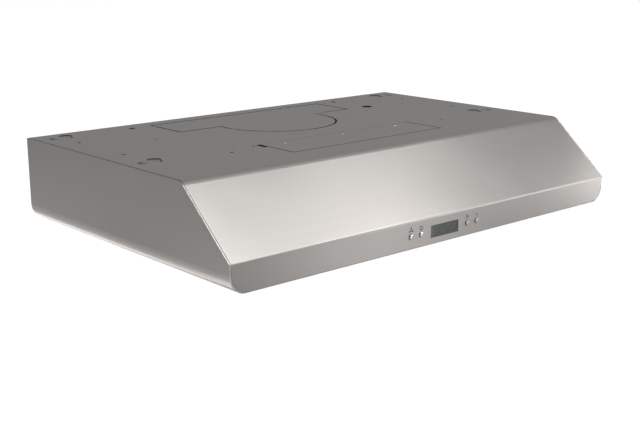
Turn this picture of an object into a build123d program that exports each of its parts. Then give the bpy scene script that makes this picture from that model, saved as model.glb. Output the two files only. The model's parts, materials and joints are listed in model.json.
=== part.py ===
from build123d import *
from math import cos, radians, sin
import os

# An under cabinet range hood in bent stainless steel sheet, with a twin squirrel-cage blower.
# Millimetres. The origin is the middle of the top face's rear edge, where the cabinet meets the
# wall. +X is to the right as the cook sees it, -Y is the front, and +Z is up.

os.makedirs("parts", exist_ok=True)

# ---------------------------------------------------------------- outer form
width = 759.0
depth = 508.0
height = 127.0
top_depth = 409.5  # level top, from the wall to where the slant starts
fascia_height = 40.0
top_bend = 20.0  # outside radii of the wrap's bends
fascia_bend = 4.5
lip_bend = 1.5
side_roll = 25.0
lip_depth = 16.0  # the wrap's lip under the fascia

sheet = 0.8
sheet_bend = 1.2  # centreline radius of a bend in an inner sheet
lap = 0.1  # between lapped sheets
seam = 0.3  # between a sheet's edge and its neighbour
wrap_seam = 1.2  # between the wrap's ends and the side panels
past = 50.0  # how far a cutter runs past what it cuts

hem_width = 10.0  # the side panel's doubled edge
flange_width = 15.0
foot_end = 340.0  # where the rolled foot of a side panel turns up
foot_turn_up = 8.0
ledge_width = 14.0  # the side panel's ledge that carries the lamp tray

# ---------------------------------------------------------------- holes in the top and the back
keyhole_x = 328.0
keyhole_y = -25.0
keyhole_pitch = 246.0  # rear pair to front pair
keyhole_r = 9.5
keyhole_slot = 8.0
keyhole_run = 14.0
tab_shift = (24.7, -9.7)  # from a keyhole to the bendable tab beside it
tab_size = (10.0, 12.0)
tab_cut = 2.0
wiring_hole_r = 9.0
wall_wiring_r = 11.1  # of the knock-out in the back panel
wiring_hole_at = (222.0, -115.0)
duct_rear = 29.0
duct_width = 354.0
duct_height = 83.0
round_duct_r = 100.0
cut_width = 2.5  # of a knock-out's cut line
bridge = 3.0
bridge_count = 10
locator_holes = [(215.0, -33.0, 4.4), (217.0, -299.0, 2.5), (340.0, -88.0, 2.5), (340.0, -212.0, 2.5)]
pilot_holes = [(-239.0, -139.0), (-167.0, -284.0), (190.0, -36.0), (188.0, -149.0)]
pilot_r = 1.6

# ---------------------------------------------------------------- recirculation cover
cover_width = 302.0
cover_depth = 76.0
cover_front = 356.0
cover_gap = 1.5  # at the cover's front
cover_rear_gap = 0.3
cover_side_gap = 2.0
pry_slot = (8.0, 20.0)  # at the left end of the cover's seat
cover_lip = 10.0
cover_rear_lip = 24.0
cover_screw_y = -293.0
cover_screw_pitch = 115.0
cover_screw_head_r = 3.2

# ---------------------------------------------------------------- screws
screw_r = 1.8
screw_head_r = 3.6
screw_head = 1.8
screw_length = 9.0
screw_clear = 0.3
thread_gap = 0.1

# ---------------------------------------------------------------- controls in the fascia
control_rise = 18.6  # over the hood's foot
button_names = ("button_fan", "button_light", "button_timer", "button_select")
button_x = (-68.5, -48.0, 48.0, 68.5)
button_r = 3.7
button_gap = 0.6
button_proud = 1.9
button_dome = 0.3  # rise of the face's middle over its edge
button_edge = 0.4
button_travel = 1.2
button_flange_r = 5.4
button_flange = 1.0
button_stem_r = 1.8
window_width = 57.0
window_height = 17.3
window_gap = 0.2
window_rim = 2.0
window_thick = 1.1
control_box_width = 168.0
control_box_height = 24.8
control_box_depth = 14.5
control_wall = 1.6
board_thick = 1.6
board_back = 10.6  # from the fascia's front face to the board's back
board_gap = 0.3
switch_size = 6.0
switch_body = 3.5
switch_plunger_r = 1.7
switch_reach = 1.0

# ---------------------------------------------------------------- lamp tray and lamps
tray_rise = 6.0  # the tray's height over the hood's foot
tray_from_front = 3.0
tray_step = 14.0
tray_depth = 135.4
tray_upstand = 12.4  # the flange behind the tray that keeps the latches
tray_return = 6.0
tray_screw_x = 333.0
tray_screw_y = (-20.4, -100.4)  # from the tray's rear
lamp_x = 230.0
lamp_y = -60.4  # from the tray's rear
lamp_hole_r = 31.0
trim_r = 36.0
trim_flange = 1.2
trim_barrel = 1.8
trim_height = 10.0
trim_lip = 1.4
bulb_r = 25.0
bulb_rim = 4.0
bulb_neck_r = 9.0
bulb_cup = 29.0
bulb_base = 13.0
bulb_pin_r = 1.5
bulb_pin = 7.0
bulb_pin_pitch = 10.0
socket_size = (26.0, 18.0, 12.0)
socket_corner = 4.0
strap_half = 34.0
strap_flange = 12.0
strap_width = 14.0

# ---------------------------------------------------------------- filters
filter_width = 328.0
filter_depth = 298.0
filter_thick = 9.5
filter_edge = 10.0
filter_skin = 0.7
filter_corner = 6.0
filter_gap = 1.0  # from the divider to each filter
filter_rise = 8.5  # over the hood's foot
filter_reveal = 3.1  # from a filter's front to the tray's rear
filter_seat = 8.0  # how much of a filter's rear edge lies on the rail
filter_lift = 0.3
pad_gap = 0.3  # from the frame to the pleated mesh in it
pleat_half = 8.1
pleat_count = 40
pleat_thick = 1.2
rail_bead = 1.0  # radius of the rolled front edge that the filters tilt on
rail_turn_down = 5.0
divider_half = 8.0
divider_height = 9.0

latch_width = 24.0
latch_thick = 2.0
latch_length = 24.0
latch_travel = 6.0
latch_clear = 0.3
latch_tab_width = 18.0
latch_tab_thick = 2.0
latch_tab_drop = 6.0
latch_tab_from_tip = 17.0
latch_plate = (64.0, 32.0)
guide_width = 1.8
guide_length = 26.0

# ---------------------------------------------------------------- blower
axis_y = -84.0
axis_z = -50.0
wheel_r = 38.0
wheel_inner_r = 31.0
blade_count = 36
blade_thick = 0.9
blade_bow = 2.2  # degrees that a blade's middle bows from its chord
blade_lead = 8.0  # degrees that a blade's tip leads its root
wheel_disc = 1.5
wheel_ring = 3.5
wheel_ring_r = 38.8
wheel_hub_r = 9.0
wheel_hub = 14.0
wheel_length = 106.0
wheel_from = 46.0
scroll_start = 120.0  # degrees from the rear, over the top, to the tongue
scroll_end = 360.0
scroll_first_r = 42.0
scroll_last_r = 55.0
scroll_steps = 12
scroll_wall = 1.0
outlet_front = -112.0
blower_half = 165.0
blower_flange = 12.0
plate_rim = 3.0
inlet_r = 32.0
inlet_lip = 6.0
motor_half = 39.0
motor_hole_r = 21.0
stack_r = 36.0
stack_half = 20.0
bell_r = 32.0
bell_half = 33.0
boss_r = 10.0
lug_r = 4.0
lug_circle = 27.0
lug_count = 3
shaft_r = 4.0
running = 0.05
fixed_fit = 0.02
bearing_r = 7.5
bearing_length = 10.0
stud_x = (-110.0, 110.0)
stud_r = 2.0
stud_length = 8.0
nut_r = 4.0  # across its corners, halved
nut_thick = 3.2

# ---------------------------------------------------------------- wiring
wiring_box_x = (196.0, 250.0)
wiring_box_y = (-142.0, -90.0)
wiring_box_height = 38.0
wiring_box_flange = 9.0
terminal_size = (12.0, 40.0, 14.0)
terminal_poles = 3
capacitor_size = (46.0, 20.0, 27.0)
capacitor_x = -120.0
capacitor_corner = 6.0
ground_screw_at = (204.0, -98.0)

# ---------------------------------------------------------------- values that follow
half = width / 2
control_z = control_rise - height
fascia_top = fascia_height - height
hem = 2 * sheet
wrap_half = half - hem - wrap_seam
roll_start = half - side_roll
foot_front = depth - lip_depth - seam
round_duct_y = -duct_rear - round_duct_r
tray_front = depth - tray_from_front
tray_rear = tray_front - tray_depth
ledge_length = foot_front - tray_rear - sheet_bend - sheet
underside = -sheet - lap  # the level of what lies against the top's inside
fascia_back = -depth + sheet + lap  # the plane of what lies against the fascia's inside
tray_z = -height + tray_rise + sheet / 2
tray_top = tray_z + sheet / 2
tray_screw_at = [(tray_screw_x, y - tray_rear) for y in tray_screw_y]
lamp_at = (lamp_x, lamp_y - tray_rear)
capacitor_at = (capacitor_x, lamp_y - tray_rear)
filter_foot = filter_rise - height
filter_front = tray_rear - filter_reveal
rail_front = filter_front - filter_depth + filter_seat
rail_z = filter_foot - filter_lift - rail_bead
filter_x = divider_half + filter_gap + filter_width / 2
filter_y = filter_depth / 2 - filter_front
board_post = fascia_back + control_box_depth - control_wall - (board_back - depth)
latch_foot = filter_foot + filter_skin + latch_clear
latch_tip = sheet / 2 + latch_clear - tray_rear
keyholes = [
    (side * keyhole_x, y) for side in (-1, 1) for y in (keyhole_y, keyhole_y - keyhole_pitch)
]
outlet_rear = axis_y + scroll_last_r + scroll_wall
outlet_front_wall = outlet_front - scroll_wall
studs = [
    (x, y)
    for x in stud_x
    for y in (outlet_rear + blower_flange / 2, outlet_front_wall - blower_flange / 2)
]


# ---------------------------------------------------------------- shared outlines and helpers
def side_outline(inset=0.0, back=0.0, foot=0.0):
    """The hood from the side, moved in by inset, with its back and foot carried past as given."""
    with BuildSketch() as outline:
        with BuildLine():
            Polyline(
                (back, 0),
                (-top_depth, 0),
                (-depth, fascia_top),
                (-depth, -height - foot),
                (back, -height - foot),
                close=True,
            )
        make_face()
        fillet(outline.vertices().sort_by(Axis.X)[2], top_bend)
        fillet(outline.vertices().group_by(Axis.X)[0].sort_by(Axis.Y)[-1], fascia_bend)
        if foot == 0:
            fillet(outline.vertices().group_by(Axis.X)[0].sort_by(Axis.Y)[0], lip_bend)
        if inset > 0:
            offset(amount=-inset)
    return outline.sketch


def front_outline(inset=0.0):
    """The hood from the front, its sides and foot moved in by inset, carried past its top."""
    with BuildSketch() as outline:
        with Locations((0, inset - height)):
            Rectangle(width - 2 * inset, height + past, align=(Align.CENTER, Align.MIN))
        fillet(outline.vertices().group_by(Axis.Y)[0], side_roll - inset)
    return outline.sketch


def bent_strip(plane, points, length):
    """Sheet bent along a line of points on a plane, and as long as given."""
    with BuildPart() as strip:
        with BuildSketch(plane):
            with BuildLine():
                FilletPolyline(*points, radius=sheet_bend)
            trace(line_width=sheet)
        extrude(amount=length)
    return strip.part


def cut_line(outline):
    """The edge of a knock-out as a narrow slot, left whole at its bridges."""
    middle = outline.bounding_box().center()
    with BuildSketch() as slot:
        offset(outline, amount=cut_width / 2, mode=Mode.ADD)
        offset(outline, amount=-cut_width / 2, mode=Mode.SUBTRACT)
        with Locations((middle.X, middle.Y)):
            with PolarLocations(0, bridge_count, start_angle=90 / bridge_count):
                Rectangle(width, bridge, mode=Mode.SUBTRACT)
    return slot.sketch


def mirrored(part):
    """The left-hand twin of a right-hand piece."""
    with BuildPart() as twin:
        mirror(part, about=Plane.YZ)
    return twin.part


def write(part, name):
    """Label a finished piece and write its file."""
    part.label = name
    export_step(part, f"parts/{name}.step")


# ---------------------------------------------------------------- wrap: top, slant, fascia and lip
with BuildSketch() as top_knock_out:
    with Locations((0, -duct_rear)):
        Rectangle(duct_width, duct_height, align=(Align.CENTER, Align.MAX))
    with Locations((0, round_duct_y)):
        Circle(round_duct_r)

with BuildPart() as hood_wrap:
    with BuildSketch(Plane.YZ):
        add(side_outline())
        add(side_outline(sheet, back=past), mode=Mode.SUBTRACT)
        with Locations((0, -height)):
            Rectangle(
                depth - lip_depth, 4 * sheet, align=(Align.MAX, Align.CENTER), mode=Mode.SUBTRACT
            )
    extrude(amount=wrap_half, both=True)
    with BuildSketch(Plane.XZ):
        add(front_outline(hem + wrap_seam))
        with Locations((0, -height)):
            Rectangle(2 * (roll_start - seam), height, align=(Align.CENTER, Align.MIN))
    extrude(amount=depth, mode=Mode.INTERSECT)

    # sunken seat of the recirculation cover
    with BuildSketch(Plane.XY.offset(underside - sheet)):
        with Locations((0, -cover_front - cover_gap - sheet)):
            Rectangle(
                cover_width + 2 * (cover_side_gap + sheet),
                cover_depth + cover_gap + cover_rear_gap + 2 * sheet,
                align=(Align.CENTER, Align.MIN),
            )
    extrude(amount=sheet + lap + sheet / 2)
    with BuildSketch(Plane.XY.offset(underside)):
        with Locations((0, -cover_front - cover_gap)):
            Rectangle(
                cover_width + 2 * cover_side_gap,
                cover_depth + cover_gap + cover_rear_gap,
                align=(Align.CENTER, Align.MIN),
            )
    extrude(amount=past, mode=Mode.SUBTRACT)

    # what is punched through the top
    with BuildSketch(Plane.XY.offset(-past)):
        with Locations(keyholes):
            Circle(keyhole_r)
            with Locations((0, -keyhole_run / 2)):
                SlotCenterToCenter(keyhole_run, keyhole_slot, rotation=90)
        for x, y in keyholes:
            side = x / keyhole_x
            with Locations((x + side * tab_shift[0], y + tab_shift[1])):
                Rectangle(*tab_size)
                with Locations((-side * tab_cut, 0)):
                    Rectangle(tab_size[0], tab_size[1] - 2 * tab_cut, mode=Mode.SUBTRACT)
        for x, y, radius in locator_holes:
            with Locations((x, y), (-x, y)):
                Circle(radius)
        with Locations(pilot_holes):
            Circle(pilot_r)
        with Locations(wiring_hole_at):
            Circle(wiring_hole_r)
        with Locations((0, cover_lip - cover_front)):
            Rectangle(
                cover_width - 2 * cover_lip,
                cover_depth - cover_lip - cover_rear_lip,
                align=(Align.CENTER, Align.MIN),
            )
        with Locations((0, cover_screw_y)):
            with GridLocations(cover_screw_pitch, 0, 3, 1):
                Circle(screw_r + thread_gap)
        with Locations((-cover_width / 2, cover_depth - cover_front)):
            Rectangle(*pry_slot, align=(Align.MAX, Align.MAX))
        add(cut_line(top_knock_out.sketch))
    extrude(amount=2 * past, mode=Mode.SUBTRACT)

    # what is punched through the fascia
    with BuildSketch(Plane.XZ.offset(depth - fascia_bend)):
        for x in button_x:
            with Locations((x, control_z)):
                Circle(button_r + button_gap)
        with Locations((0, control_z)):
            Rectangle(window_width + 2 * window_gap, window_height + 2 * window_gap)
    extrude(amount=2 * fascia_bend, mode=Mode.SUBTRACT)

    # studs that the blower hangs on
    with BuildSketch(Plane.XY.offset(-sheet)):
        with Locations(studs):
            Circle(stud_r)
    extrude(amount=-stud_length)
write(hood_wrap.part, "hood_wrap")


# ---------------------------------------------------------------- side panels
def side_strip(outer, inner, skin, reach):
    """The right-hand side between two side outlines and between two front outlines."""
    with BuildPart() as strip:
        with BuildSketch(Plane.YZ.offset(foot_end)):
            add(side_outline(outer))
            if inner > 0:
                add(side_outline(inner, back=past, foot=past), mode=Mode.SUBTRACT)
        extrude(amount=half - foot_end)
        with BuildSketch(Plane.XZ):
            add(front_outline(skin))
        extrude(amount=depth, mode=Mode.INTERSECT)
        with BuildSketch(Plane.XZ):
            add(front_outline(reach))
        extrude(amount=depth, mode=Mode.SUBTRACT)
    return strip.part


with BuildPart() as right_side_panel:
    # outer skin and its doubled edge, which stops short of the back panel
    add(side_strip(0, 0, 0, sheet))
    add(side_strip(0, hem_width, 0, hem))
    with BuildSketch(Plane.XZ):
        add(front_outline(sheet))
    extrude(amount=sheet + lap, mode=Mode.SUBTRACT)
    # the flange that the wrap lies on
    add(side_strip(sheet + lap, 2 * sheet + lap, sheet, flange_width))
    # room for the wrap's lip
    with BuildSketch(Plane.XY.offset(-height - sheet)):
        with Locations((foot_end, -foot_front)):
            Rectangle(roll_start - foot_end, depth - foot_front, align=(Align.MIN, Align.MAX))
    extrude(amount=2 * hem + sheet, mode=Mode.SUBTRACT)
    # the foot's turned-up edge
    with BuildSketch(Plane.XY.offset(-height)):
        with Locations((foot_end, -foot_front)):
            Rectangle(sheet, foot_front + underside, align=(Align.MIN, Align.MIN))
    extrude(amount=foot_turn_up)
    # the ledge that the lamp tray is screwed to
    with BuildSketch(Plane.XY.offset(tray_top + lap)):
        with Locations((foot_end + sheet, -foot_front)):
            Rectangle(ledge_width + sheet, ledge_length, align=(Align.MAX, Align.MIN))
        with Locations(tray_screw_at):
            Circle(screw_r + thread_gap, mode=Mode.SUBTRACT)
    extrude(amount=sheet)
write(right_side_panel.part, "right_side_panel")
write(mirrored(right_side_panel.part), "left_side_panel")

# ---------------------------------------------------------------- back panel
back_foot = -height + sheet + lap
with BuildSketch() as wall_knock_out:
    with Locations((0, -height / 2)):
        Rectangle(duct_width, duct_height)

with BuildPart() as back_panel:
    with BuildSketch(Plane.XZ):
        add(front_outline(sheet + lap))
        with Locations((0, underside)):
            Rectangle(width, 2 * past, align=(Align.CENTER, Align.MIN), mode=Mode.SUBTRACT)
    extrude(amount=sheet)
    # flanges turned in along the top, between the keyholes, and along the foot
    for z, reach in ((underside - sheet, keyhole_x - 2 * keyhole_r), (back_foot, foot_end)):
        with BuildSketch(Plane.XY.offset(z)):
            Rectangle(2 * (reach - seam), flange_width, align=(Align.CENTER, Align.MAX))
        extrude(amount=sheet)
    with BuildSketch(Plane.XZ.offset(-sheet)):
        add(cut_line(wall_knock_out.sketch))
        with Locations((wiring_hole_at[0], -height + 3 * wall_wiring_r)):
            Circle(wall_wiring_r)
            Circle(wall_wiring_r - cut_width, mode=Mode.SUBTRACT)
            Rectangle(3 * wall_wiring_r, bridge, mode=Mode.SUBTRACT)
    extrude(amount=3 * sheet, mode=Mode.SUBTRACT)
write(back_panel.part, "back_panel")

# ---------------------------------------------------------------- recirculation cover and its screws
with BuildPart() as recirculation_cover:
    with BuildSketch(Plane.XY.offset(-sheet)):
        with Locations((0, -cover_front)):
            Rectangle(cover_width, cover_depth, align=(Align.CENTER, Align.MIN))
        with Locations((0, cover_screw_y)):
            with GridLocations(cover_screw_pitch, 0, 3, 1):
                Circle(cover_screw_head_r + thread_gap, mode=Mode.SUBTRACT)
    extrude(amount=sheet)
write(recirculation_cover.part, "recirculation_cover")

with BuildPart() as cover_screws:
    with BuildSketch(Plane.XY.offset(-sheet)):
        with Locations((0, cover_screw_y)):
            with GridLocations(cover_screw_pitch, 0, 3, 1):
                Circle(cover_screw_head_r)
    extrude(amount=sheet)
    with BuildSketch(Plane.XY.offset(-sheet)):
        with Locations((0, cover_screw_y)):
            with GridLocations(cover_screw_pitch, 0, 3, 1):
                Circle(screw_r)
    extrude(amount=-screw_length)
write(cover_screws.part, "cover_screws")

# ---------------------------------------------------------------- lamp tray, rail and divider
tray_points = [
    (-tray_front, -height + 1.5 * sheet + lap),
    (tray_step - tray_front, -height + 1.5 * sheet + lap),
    (tray_step - tray_front, tray_z),
    (-tray_rear, tray_z),
    (-tray_rear, tray_z + tray_upstand),
    (-tray_rear - tray_return, tray_z + tray_upstand),
]
lamps = [(side * lamp_at[0], lamp_at[1]) for side in (-1, 1)]
tray_screws_at = [(side * x, y) for side in (-1, 1) for x, y in tray_screw_at]

with BuildPart() as lamp_tray:
    add(bent_strip(Plane.YZ.offset(seam - foot_end), tray_points, 2 * (foot_end - seam)))
    with BuildSketch(Plane.XY.offset(tray_z - sheet)):
        with Locations(lamps):
            Circle(lamp_hole_r)
        with Locations(tray_screws_at):
            Circle(screw_r + screw_clear)
    extrude(amount=2 * sheet, mode=Mode.SUBTRACT)
    # the latches' keepers
    with BuildSketch(Plane.XZ.offset(tray_rear - sheet)):
        with Locations((-filter_x, latch_foot + latch_thick / 2), (filter_x, latch_foot + latch_thick / 2)):
            Rectangle(latch_width + 4 * latch_clear, latch_thick + 4 * latch_clear)
    extrude(amount=2 * sheet, mode=Mode.SUBTRACT)
write(lamp_tray.part, "lamp_tray")

with BuildPart() as tray_screws:
    with BuildSketch(Plane.XY.offset(tray_top - sheet - screw_head)):
        with Locations(tray_screws_at):
            Circle(screw_head_r)
    extrude(amount=screw_head)
    chamfer(tray_screws.edges().group_by(Axis.Z)[0], screw_head / 2)
    with BuildSketch(Plane.XY.offset(tray_top - sheet)):
        with Locations(tray_screws_at):
            Circle(screw_r)
    extrude(amount=screw_length)
write(tray_screws.part, "tray_screws")

rail_back = -1.5 * sheet - lap
rail_points = [(rail_back, rail_z - rail_turn_down), (rail_back, rail_z), (-rail_front, rail_z)]
with BuildPart() as filter_rail:
    add(bent_strip(Plane.YZ.offset(seam - foot_end), rail_points, 2 * (foot_end - seam)))
    with BuildSketch(Plane.YZ):
        with Locations((-rail_front, rail_z)):
            Circle(rail_bead)
    extrude(amount=foot_end - seam, both=True)
write(filter_rail.part, "filter_rail")

divider_z = rail_z + rail_bead + lap + sheet / 2
divider_web = divider_half - sheet / 2
divider_points = [
    (-divider_web, divider_z + divider_height),
    (-divider_web, divider_z),
    (divider_web, divider_z),
    (divider_web, divider_z + divider_height),
]
divider_rear = rail_front - filter_seat
filter_divider = bent_strip(
    Plane.XZ.offset(divider_rear), divider_points, tray_rear - sheet / 2 - lap - divider_rear
)
write(filter_divider, "filter_divider")

# ---------------------------------------------------------------- grease filters
with BuildPart() as right_filter_frame:
    with BuildSketch(Plane.XY.offset(filter_foot)):
        with Locations((filter_x, filter_y)):
            RectangleRounded(filter_width, filter_depth, filter_corner)
    extrude(amount=filter_thick)
    with BuildSketch(Plane.XY.offset(filter_foot + filter_skin)):
        with Locations((filter_x, filter_y)):
            RectangleRounded(
                filter_width - 2 * filter_skin,
                filter_depth - 2 * filter_skin,
                filter_corner - filter_skin,
            )
    extrude(amount=filter_thick - 2 * filter_skin, mode=Mode.SUBTRACT)
    with BuildSketch(Plane.XY.offset(filter_foot)):
        with Locations((filter_x, filter_y)):
            RectangleRounded(
                filter_width - 2 * filter_edge, filter_depth - 2 * filter_edge, filter_corner
            )
    extrude(amount=filter_thick, mode=Mode.SUBTRACT)
    # the plate that carries the latch, with a guide each side of its bolt
    with BuildSketch(Plane.XY.offset(filter_foot)):
        with Locations((filter_x, filter_skin / 2 - filter_front)):
            Rectangle(*latch_plate, align=(Align.CENTER, Align.MIN))
    extrude(amount=filter_skin)
    with BuildSketch(Plane.XY.offset(filter_foot + filter_skin)):
        with Locations((filter_x, filter_skin + latch_clear - filter_front)):
            with GridLocations(latch_width + 2 * latch_clear + guide_width, 0, 2, 1):
                Rectangle(guide_width, guide_length, align=(Align.CENTER, Align.MIN))
    extrude(amount=latch_clear + latch_thick + latch_clear)
    # the bolt's way out, and the finger tab's slot
    with BuildSketch(Plane.XZ.offset(filter_front - filter_skin - lap)):
        with Locations((filter_x, filter_foot + filter_skin)):
            Rectangle(
                latch_width + 2 * latch_clear,
                latch_thick + 2 * latch_clear,
                align=(Align.CENTER, Align.MIN),
            )
    extrude(amount=2 * filter_skin, mode=Mode.SUBTRACT)
    with BuildSketch(Plane.XY.offset(filter_foot - filter_skin)):
        with Locations((filter_x, latch_tip + latch_tab_from_tip - latch_clear)):
            Rectangle(
                latch_tab_width + 2 * latch_clear,
                latch_tab_thick + latch_travel + 2 * latch_clear,
                align=(Align.CENTER, Align.MIN),
            )
    extrude(amount=2.5 * filter_skin, mode=Mode.SUBTRACT)
write(right_filter_frame.part, "filter_frame_right")
write(mirrored(right_filter_frame.part), "filter_frame_left")

# a pleated pad of expanded mesh, cut away round the latch
mesh_middle = filter_foot + filter_thick / 2
mesh_rise = filter_thick / 2 - filter_skin - pad_gap - pleat_thick / 2
mesh_inset = filter_skin + pad_gap
pleats = [
    ((i - pleat_count / 2) * pleat_half + filter_x, mesh_middle + (mesh_rise if i % 2 else -mesh_rise))
    for i in range(pleat_count + 1)
]

with BuildPart() as right_filter_mesh:
    with BuildSketch(Plane.XZ.offset(filter_front - filter_depth + mesh_inset)):
        with BuildLine():
            Polyline(*pleats)
        trace(line_width=pleat_thick)
    extrude(amount=filter_depth - 2 * mesh_inset)
    with BuildSketch(Plane.XY.offset(filter_foot)):
        with Locations((filter_x, filter_y)):
            RectangleRounded(
                filter_width - 2 * mesh_inset, filter_depth - 2 * mesh_inset, filter_corner - mesh_inset
            )
    extrude(amount=filter_thick, mode=Mode.INTERSECT)
    with BuildSketch(Plane.XY.offset(filter_foot)):
        with Locations((filter_x, -filter_front)):
            Rectangle(
                latch_plate[0] + 2 * pad_gap, latch_plate[1] + pad_gap + filter_skin,
                align=(Align.CENTER, Align.MIN),
            )
    extrude(amount=filter_thick, mode=Mode.SUBTRACT)
write(right_filter_mesh.part, "filter_mesh_right")
write(mirrored(right_filter_mesh.part), "filter_mesh_left")

with BuildPart() as right_latch:
    with BuildSketch(Plane.XY.offset(latch_foot)):
        with Locations((filter_x, latch_tip)):
            RectangleRounded(latch_width, latch_length, latch_thick / 2, align=(Align.CENTER, Align.MIN))
    extrude(amount=latch_thick)
    with BuildSketch(Plane.XY.offset(latch_foot)):
        with Locations((filter_x, latch_tip + latch_tab_from_tip)):
            Rectangle(latch_tab_width, latch_tab_thick, align=(Align.CENTER, Align.MIN))
    extrude(amount=-latch_tab_drop)
    # a rolled edge for the fingertip
    with BuildSketch(Plane.YZ.offset(filter_x - latch_tab_width / 2)):
        with Locations(
            (latch_tip + latch_tab_from_tip + latch_tab_thick / 2, latch_foot - latch_tab_drop)
        ):
            Circle(0.8 * latch_tab_thick)
    extrude(amount=latch_tab_width)
write(right_latch.part, "filter_latch_right")
write(mirrored(right_latch.part), "filter_latch_left")

# ---------------------------------------------------------------- lamps
tray_foot = tray_top - sheet


def revolved(points, plane, axis):
    """A turned piece from its half outline."""
    with BuildPart() as turned:
        with BuildSketch(plane):
            with BuildLine():
                Polyline(*points, close=True)
            make_face()
        revolve(axis=axis)
    return turned.part


lamp_plane = Plane.XZ.offset(-lamp_at[1])
lamp_axis = Axis((lamp_at[0], lamp_at[1], 0), (0, 0, 1))
bulb_face = tray_foot - trim_flange + trim_lip
trim_points = [
    (trim_r, tray_foot),
    (trim_r - trim_flange, tray_foot - trim_flange),
    (bulb_r - trim_lip, tray_foot - trim_flange),
    (bulb_r - trim_lip, bulb_face - lap),
    (lamp_hole_r - seam - trim_barrel, bulb_face - lap),
    (lamp_hole_r - seam - trim_barrel, tray_foot + trim_height),
    (lamp_hole_r - seam, tray_foot + trim_height),
    (lamp_hole_r - seam, tray_foot),
]
lamp_trim = revolved([(lamp_at[0] + r, z) for r, z in trim_points], lamp_plane, lamp_axis)
write(lamp_trim, "lamp_trim_right")
write(mirrored(lamp_trim), "lamp_trim_left")

cup_top = bulb_face + bulb_rim + bulb_cup
bulb_top = cup_top + bulb_base
with BuildPart() as lamp_bulb:
    with BuildSketch(lamp_plane):
        with BuildLine():
            Polyline(
                (lamp_at[0], bulb_top),
                (lamp_at[0], bulb_face),
                (lamp_at[0] + bulb_r, bulb_face),
                (lamp_at[0] + bulb_r, bulb_face + bulb_rim),
            )
            Spline(
                (lamp_at[0] + bulb_r, bulb_face + bulb_rim),
                (lamp_at[0] + 0.8 * bulb_r, bulb_face + bulb_rim + 0.45 * bulb_cup),
                (lamp_at[0] + bulb_neck_r, cup_top),
                tangents=[(-0.1, 1), (-0.1, 1)],
            )
            Polyline(
                (lamp_at[0] + bulb_neck_r, cup_top),
                (lamp_at[0] + bulb_neck_r, bulb_top),
                (lamp_at[0], bulb_top),
            )
        make_face()
    revolve(axis=lamp_axis)
    with BuildSketch(Plane.XY.offset(bulb_top)):
        with Locations(lamp_at):
            with GridLocations(bulb_pin_pitch, 0, 2, 1):
                Circle(bulb_pin_r)
    extrude(amount=bulb_pin)
write(lamp_bulb.part, "lamp_bulb_right")
write(mirrored(lamp_bulb.part), "lamp_bulb_left")

with BuildPart() as lamp_socket:
    with BuildSketch(Plane.XY.offset(bulb_top + lap)):
        with Locations(lamp_at):
            RectangleRounded(socket_size[0], socket_size[1], socket_corner)
            with GridLocations(bulb_pin_pitch, 0, 2, 1):
                Circle(bulb_pin_r + screw_clear, mode=Mode.SUBTRACT)
    extrude(amount=socket_size[2])
write(lamp_socket.part, "lamp_socket_right")
write(mirrored(lamp_socket.part), "lamp_socket_left")

# a strap over each lamp, which holds its socket
strap_foot = tray_top + sheet / 2
strap_top = bulb_top + lap + socket_size[2] + sheet / 2
strap_profile = [
    (-strap_half - strap_flange, strap_foot),
    (-strap_half, strap_foot),
    (-strap_half, strap_top),
    (strap_half, strap_top),
    (strap_half, strap_foot),
    (strap_half + strap_flange, strap_foot),
]
lamp_strap = bent_strip(
    Plane.XZ.offset(-lamp_at[1] - strap_width / 2),
    [(lamp_at[0] + x, z) for x, z in strap_profile],
    strap_width,
)
write(lamp_strap, "lamp_strap_right")
write(mirrored(lamp_strap), "lamp_strap_left")


# ---------------------------------------------------------------- blower housing
def scroll_face(grow=0.0):
    """The scroll's air path from the side, a spiral that opens into the outlet, grown by grow."""
    spiral = []
    for i in range(scroll_steps + 1):
        share = i / scroll_steps
        angle = radians(scroll_start + (scroll_end - scroll_start) * share)
        radius = scroll_first_r + (scroll_last_r - scroll_first_r) * share + grow
        spiral.append((axis_y + radius * cos(angle), axis_z + radius * sin(angle)))
    tongue = (
        axis_y + scroll_first_r * cos(radians(scroll_start)),
        axis_z + scroll_first_r * sin(radians(scroll_start)),
    )
    over_front = (2 * outlet_front - tongue[0], 2 * underside - tongue[1])
    with BuildSketch() as outlet:
        with BuildLine():
            Polyline(
                tongue,
                over_front,
                (axis_y + scroll_last_r, over_front[1]),
                (axis_y + scroll_last_r, axis_z),
                (axis_y, axis_z - wheel_r / 2),
                close=True,
            )
        make_face()
        if grow != 0:
            offset(amount=grow, kind=Kind.INTERSECTION)
    with BuildSketch() as face:
        with BuildLine():
            Spline(*spiral)
            Polyline(spiral[-1], (axis_y, axis_z), spiral[0])
        make_face()
        add(outlet.sketch)
        with Locations((axis_y, underside)):
            Rectangle(width, past, align=(Align.CENTER, Align.MIN), mode=Mode.SUBTRACT)
    return face.sketch


with BuildPart() as blower_scroll:
    with BuildSketch(Plane.YZ):
        add(scroll_face(scroll_wall))
        add(scroll_face(), mode=Mode.SUBTRACT)
        # feet that lie against the top
        for edge, side in ((outlet_rear, Align.MIN), (outlet_front_wall, Align.MAX)):
            with Locations((edge, underside)):
                Rectangle(blower_flange, scroll_wall, align=(side, Align.MAX))
    extrude(amount=blower_half, both=True)
    with BuildSketch(Plane.XY.offset(underside)):
        with Locations(studs):
            Circle(stud_r + screw_clear)
    extrude(amount=-2 * scroll_wall, mode=Mode.SUBTRACT)
write(blower_scroll.part, "blower_scroll")

blower_axis = Axis((0, axis_y, axis_z), (1, 0, 0))


def side_plate(x, hole_r, grow):
    """A flat plate across the scroll, with a round hole on the blower's axis."""
    with BuildPart() as plate:
        with BuildSketch(Plane.YZ.offset(x)):
            add(scroll_face(grow))
            with Locations((axis_y, axis_z)):
                Circle(hole_r, mode=Mode.SUBTRACT)
        extrude(amount=scroll_wall)
    return plate.part


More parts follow.
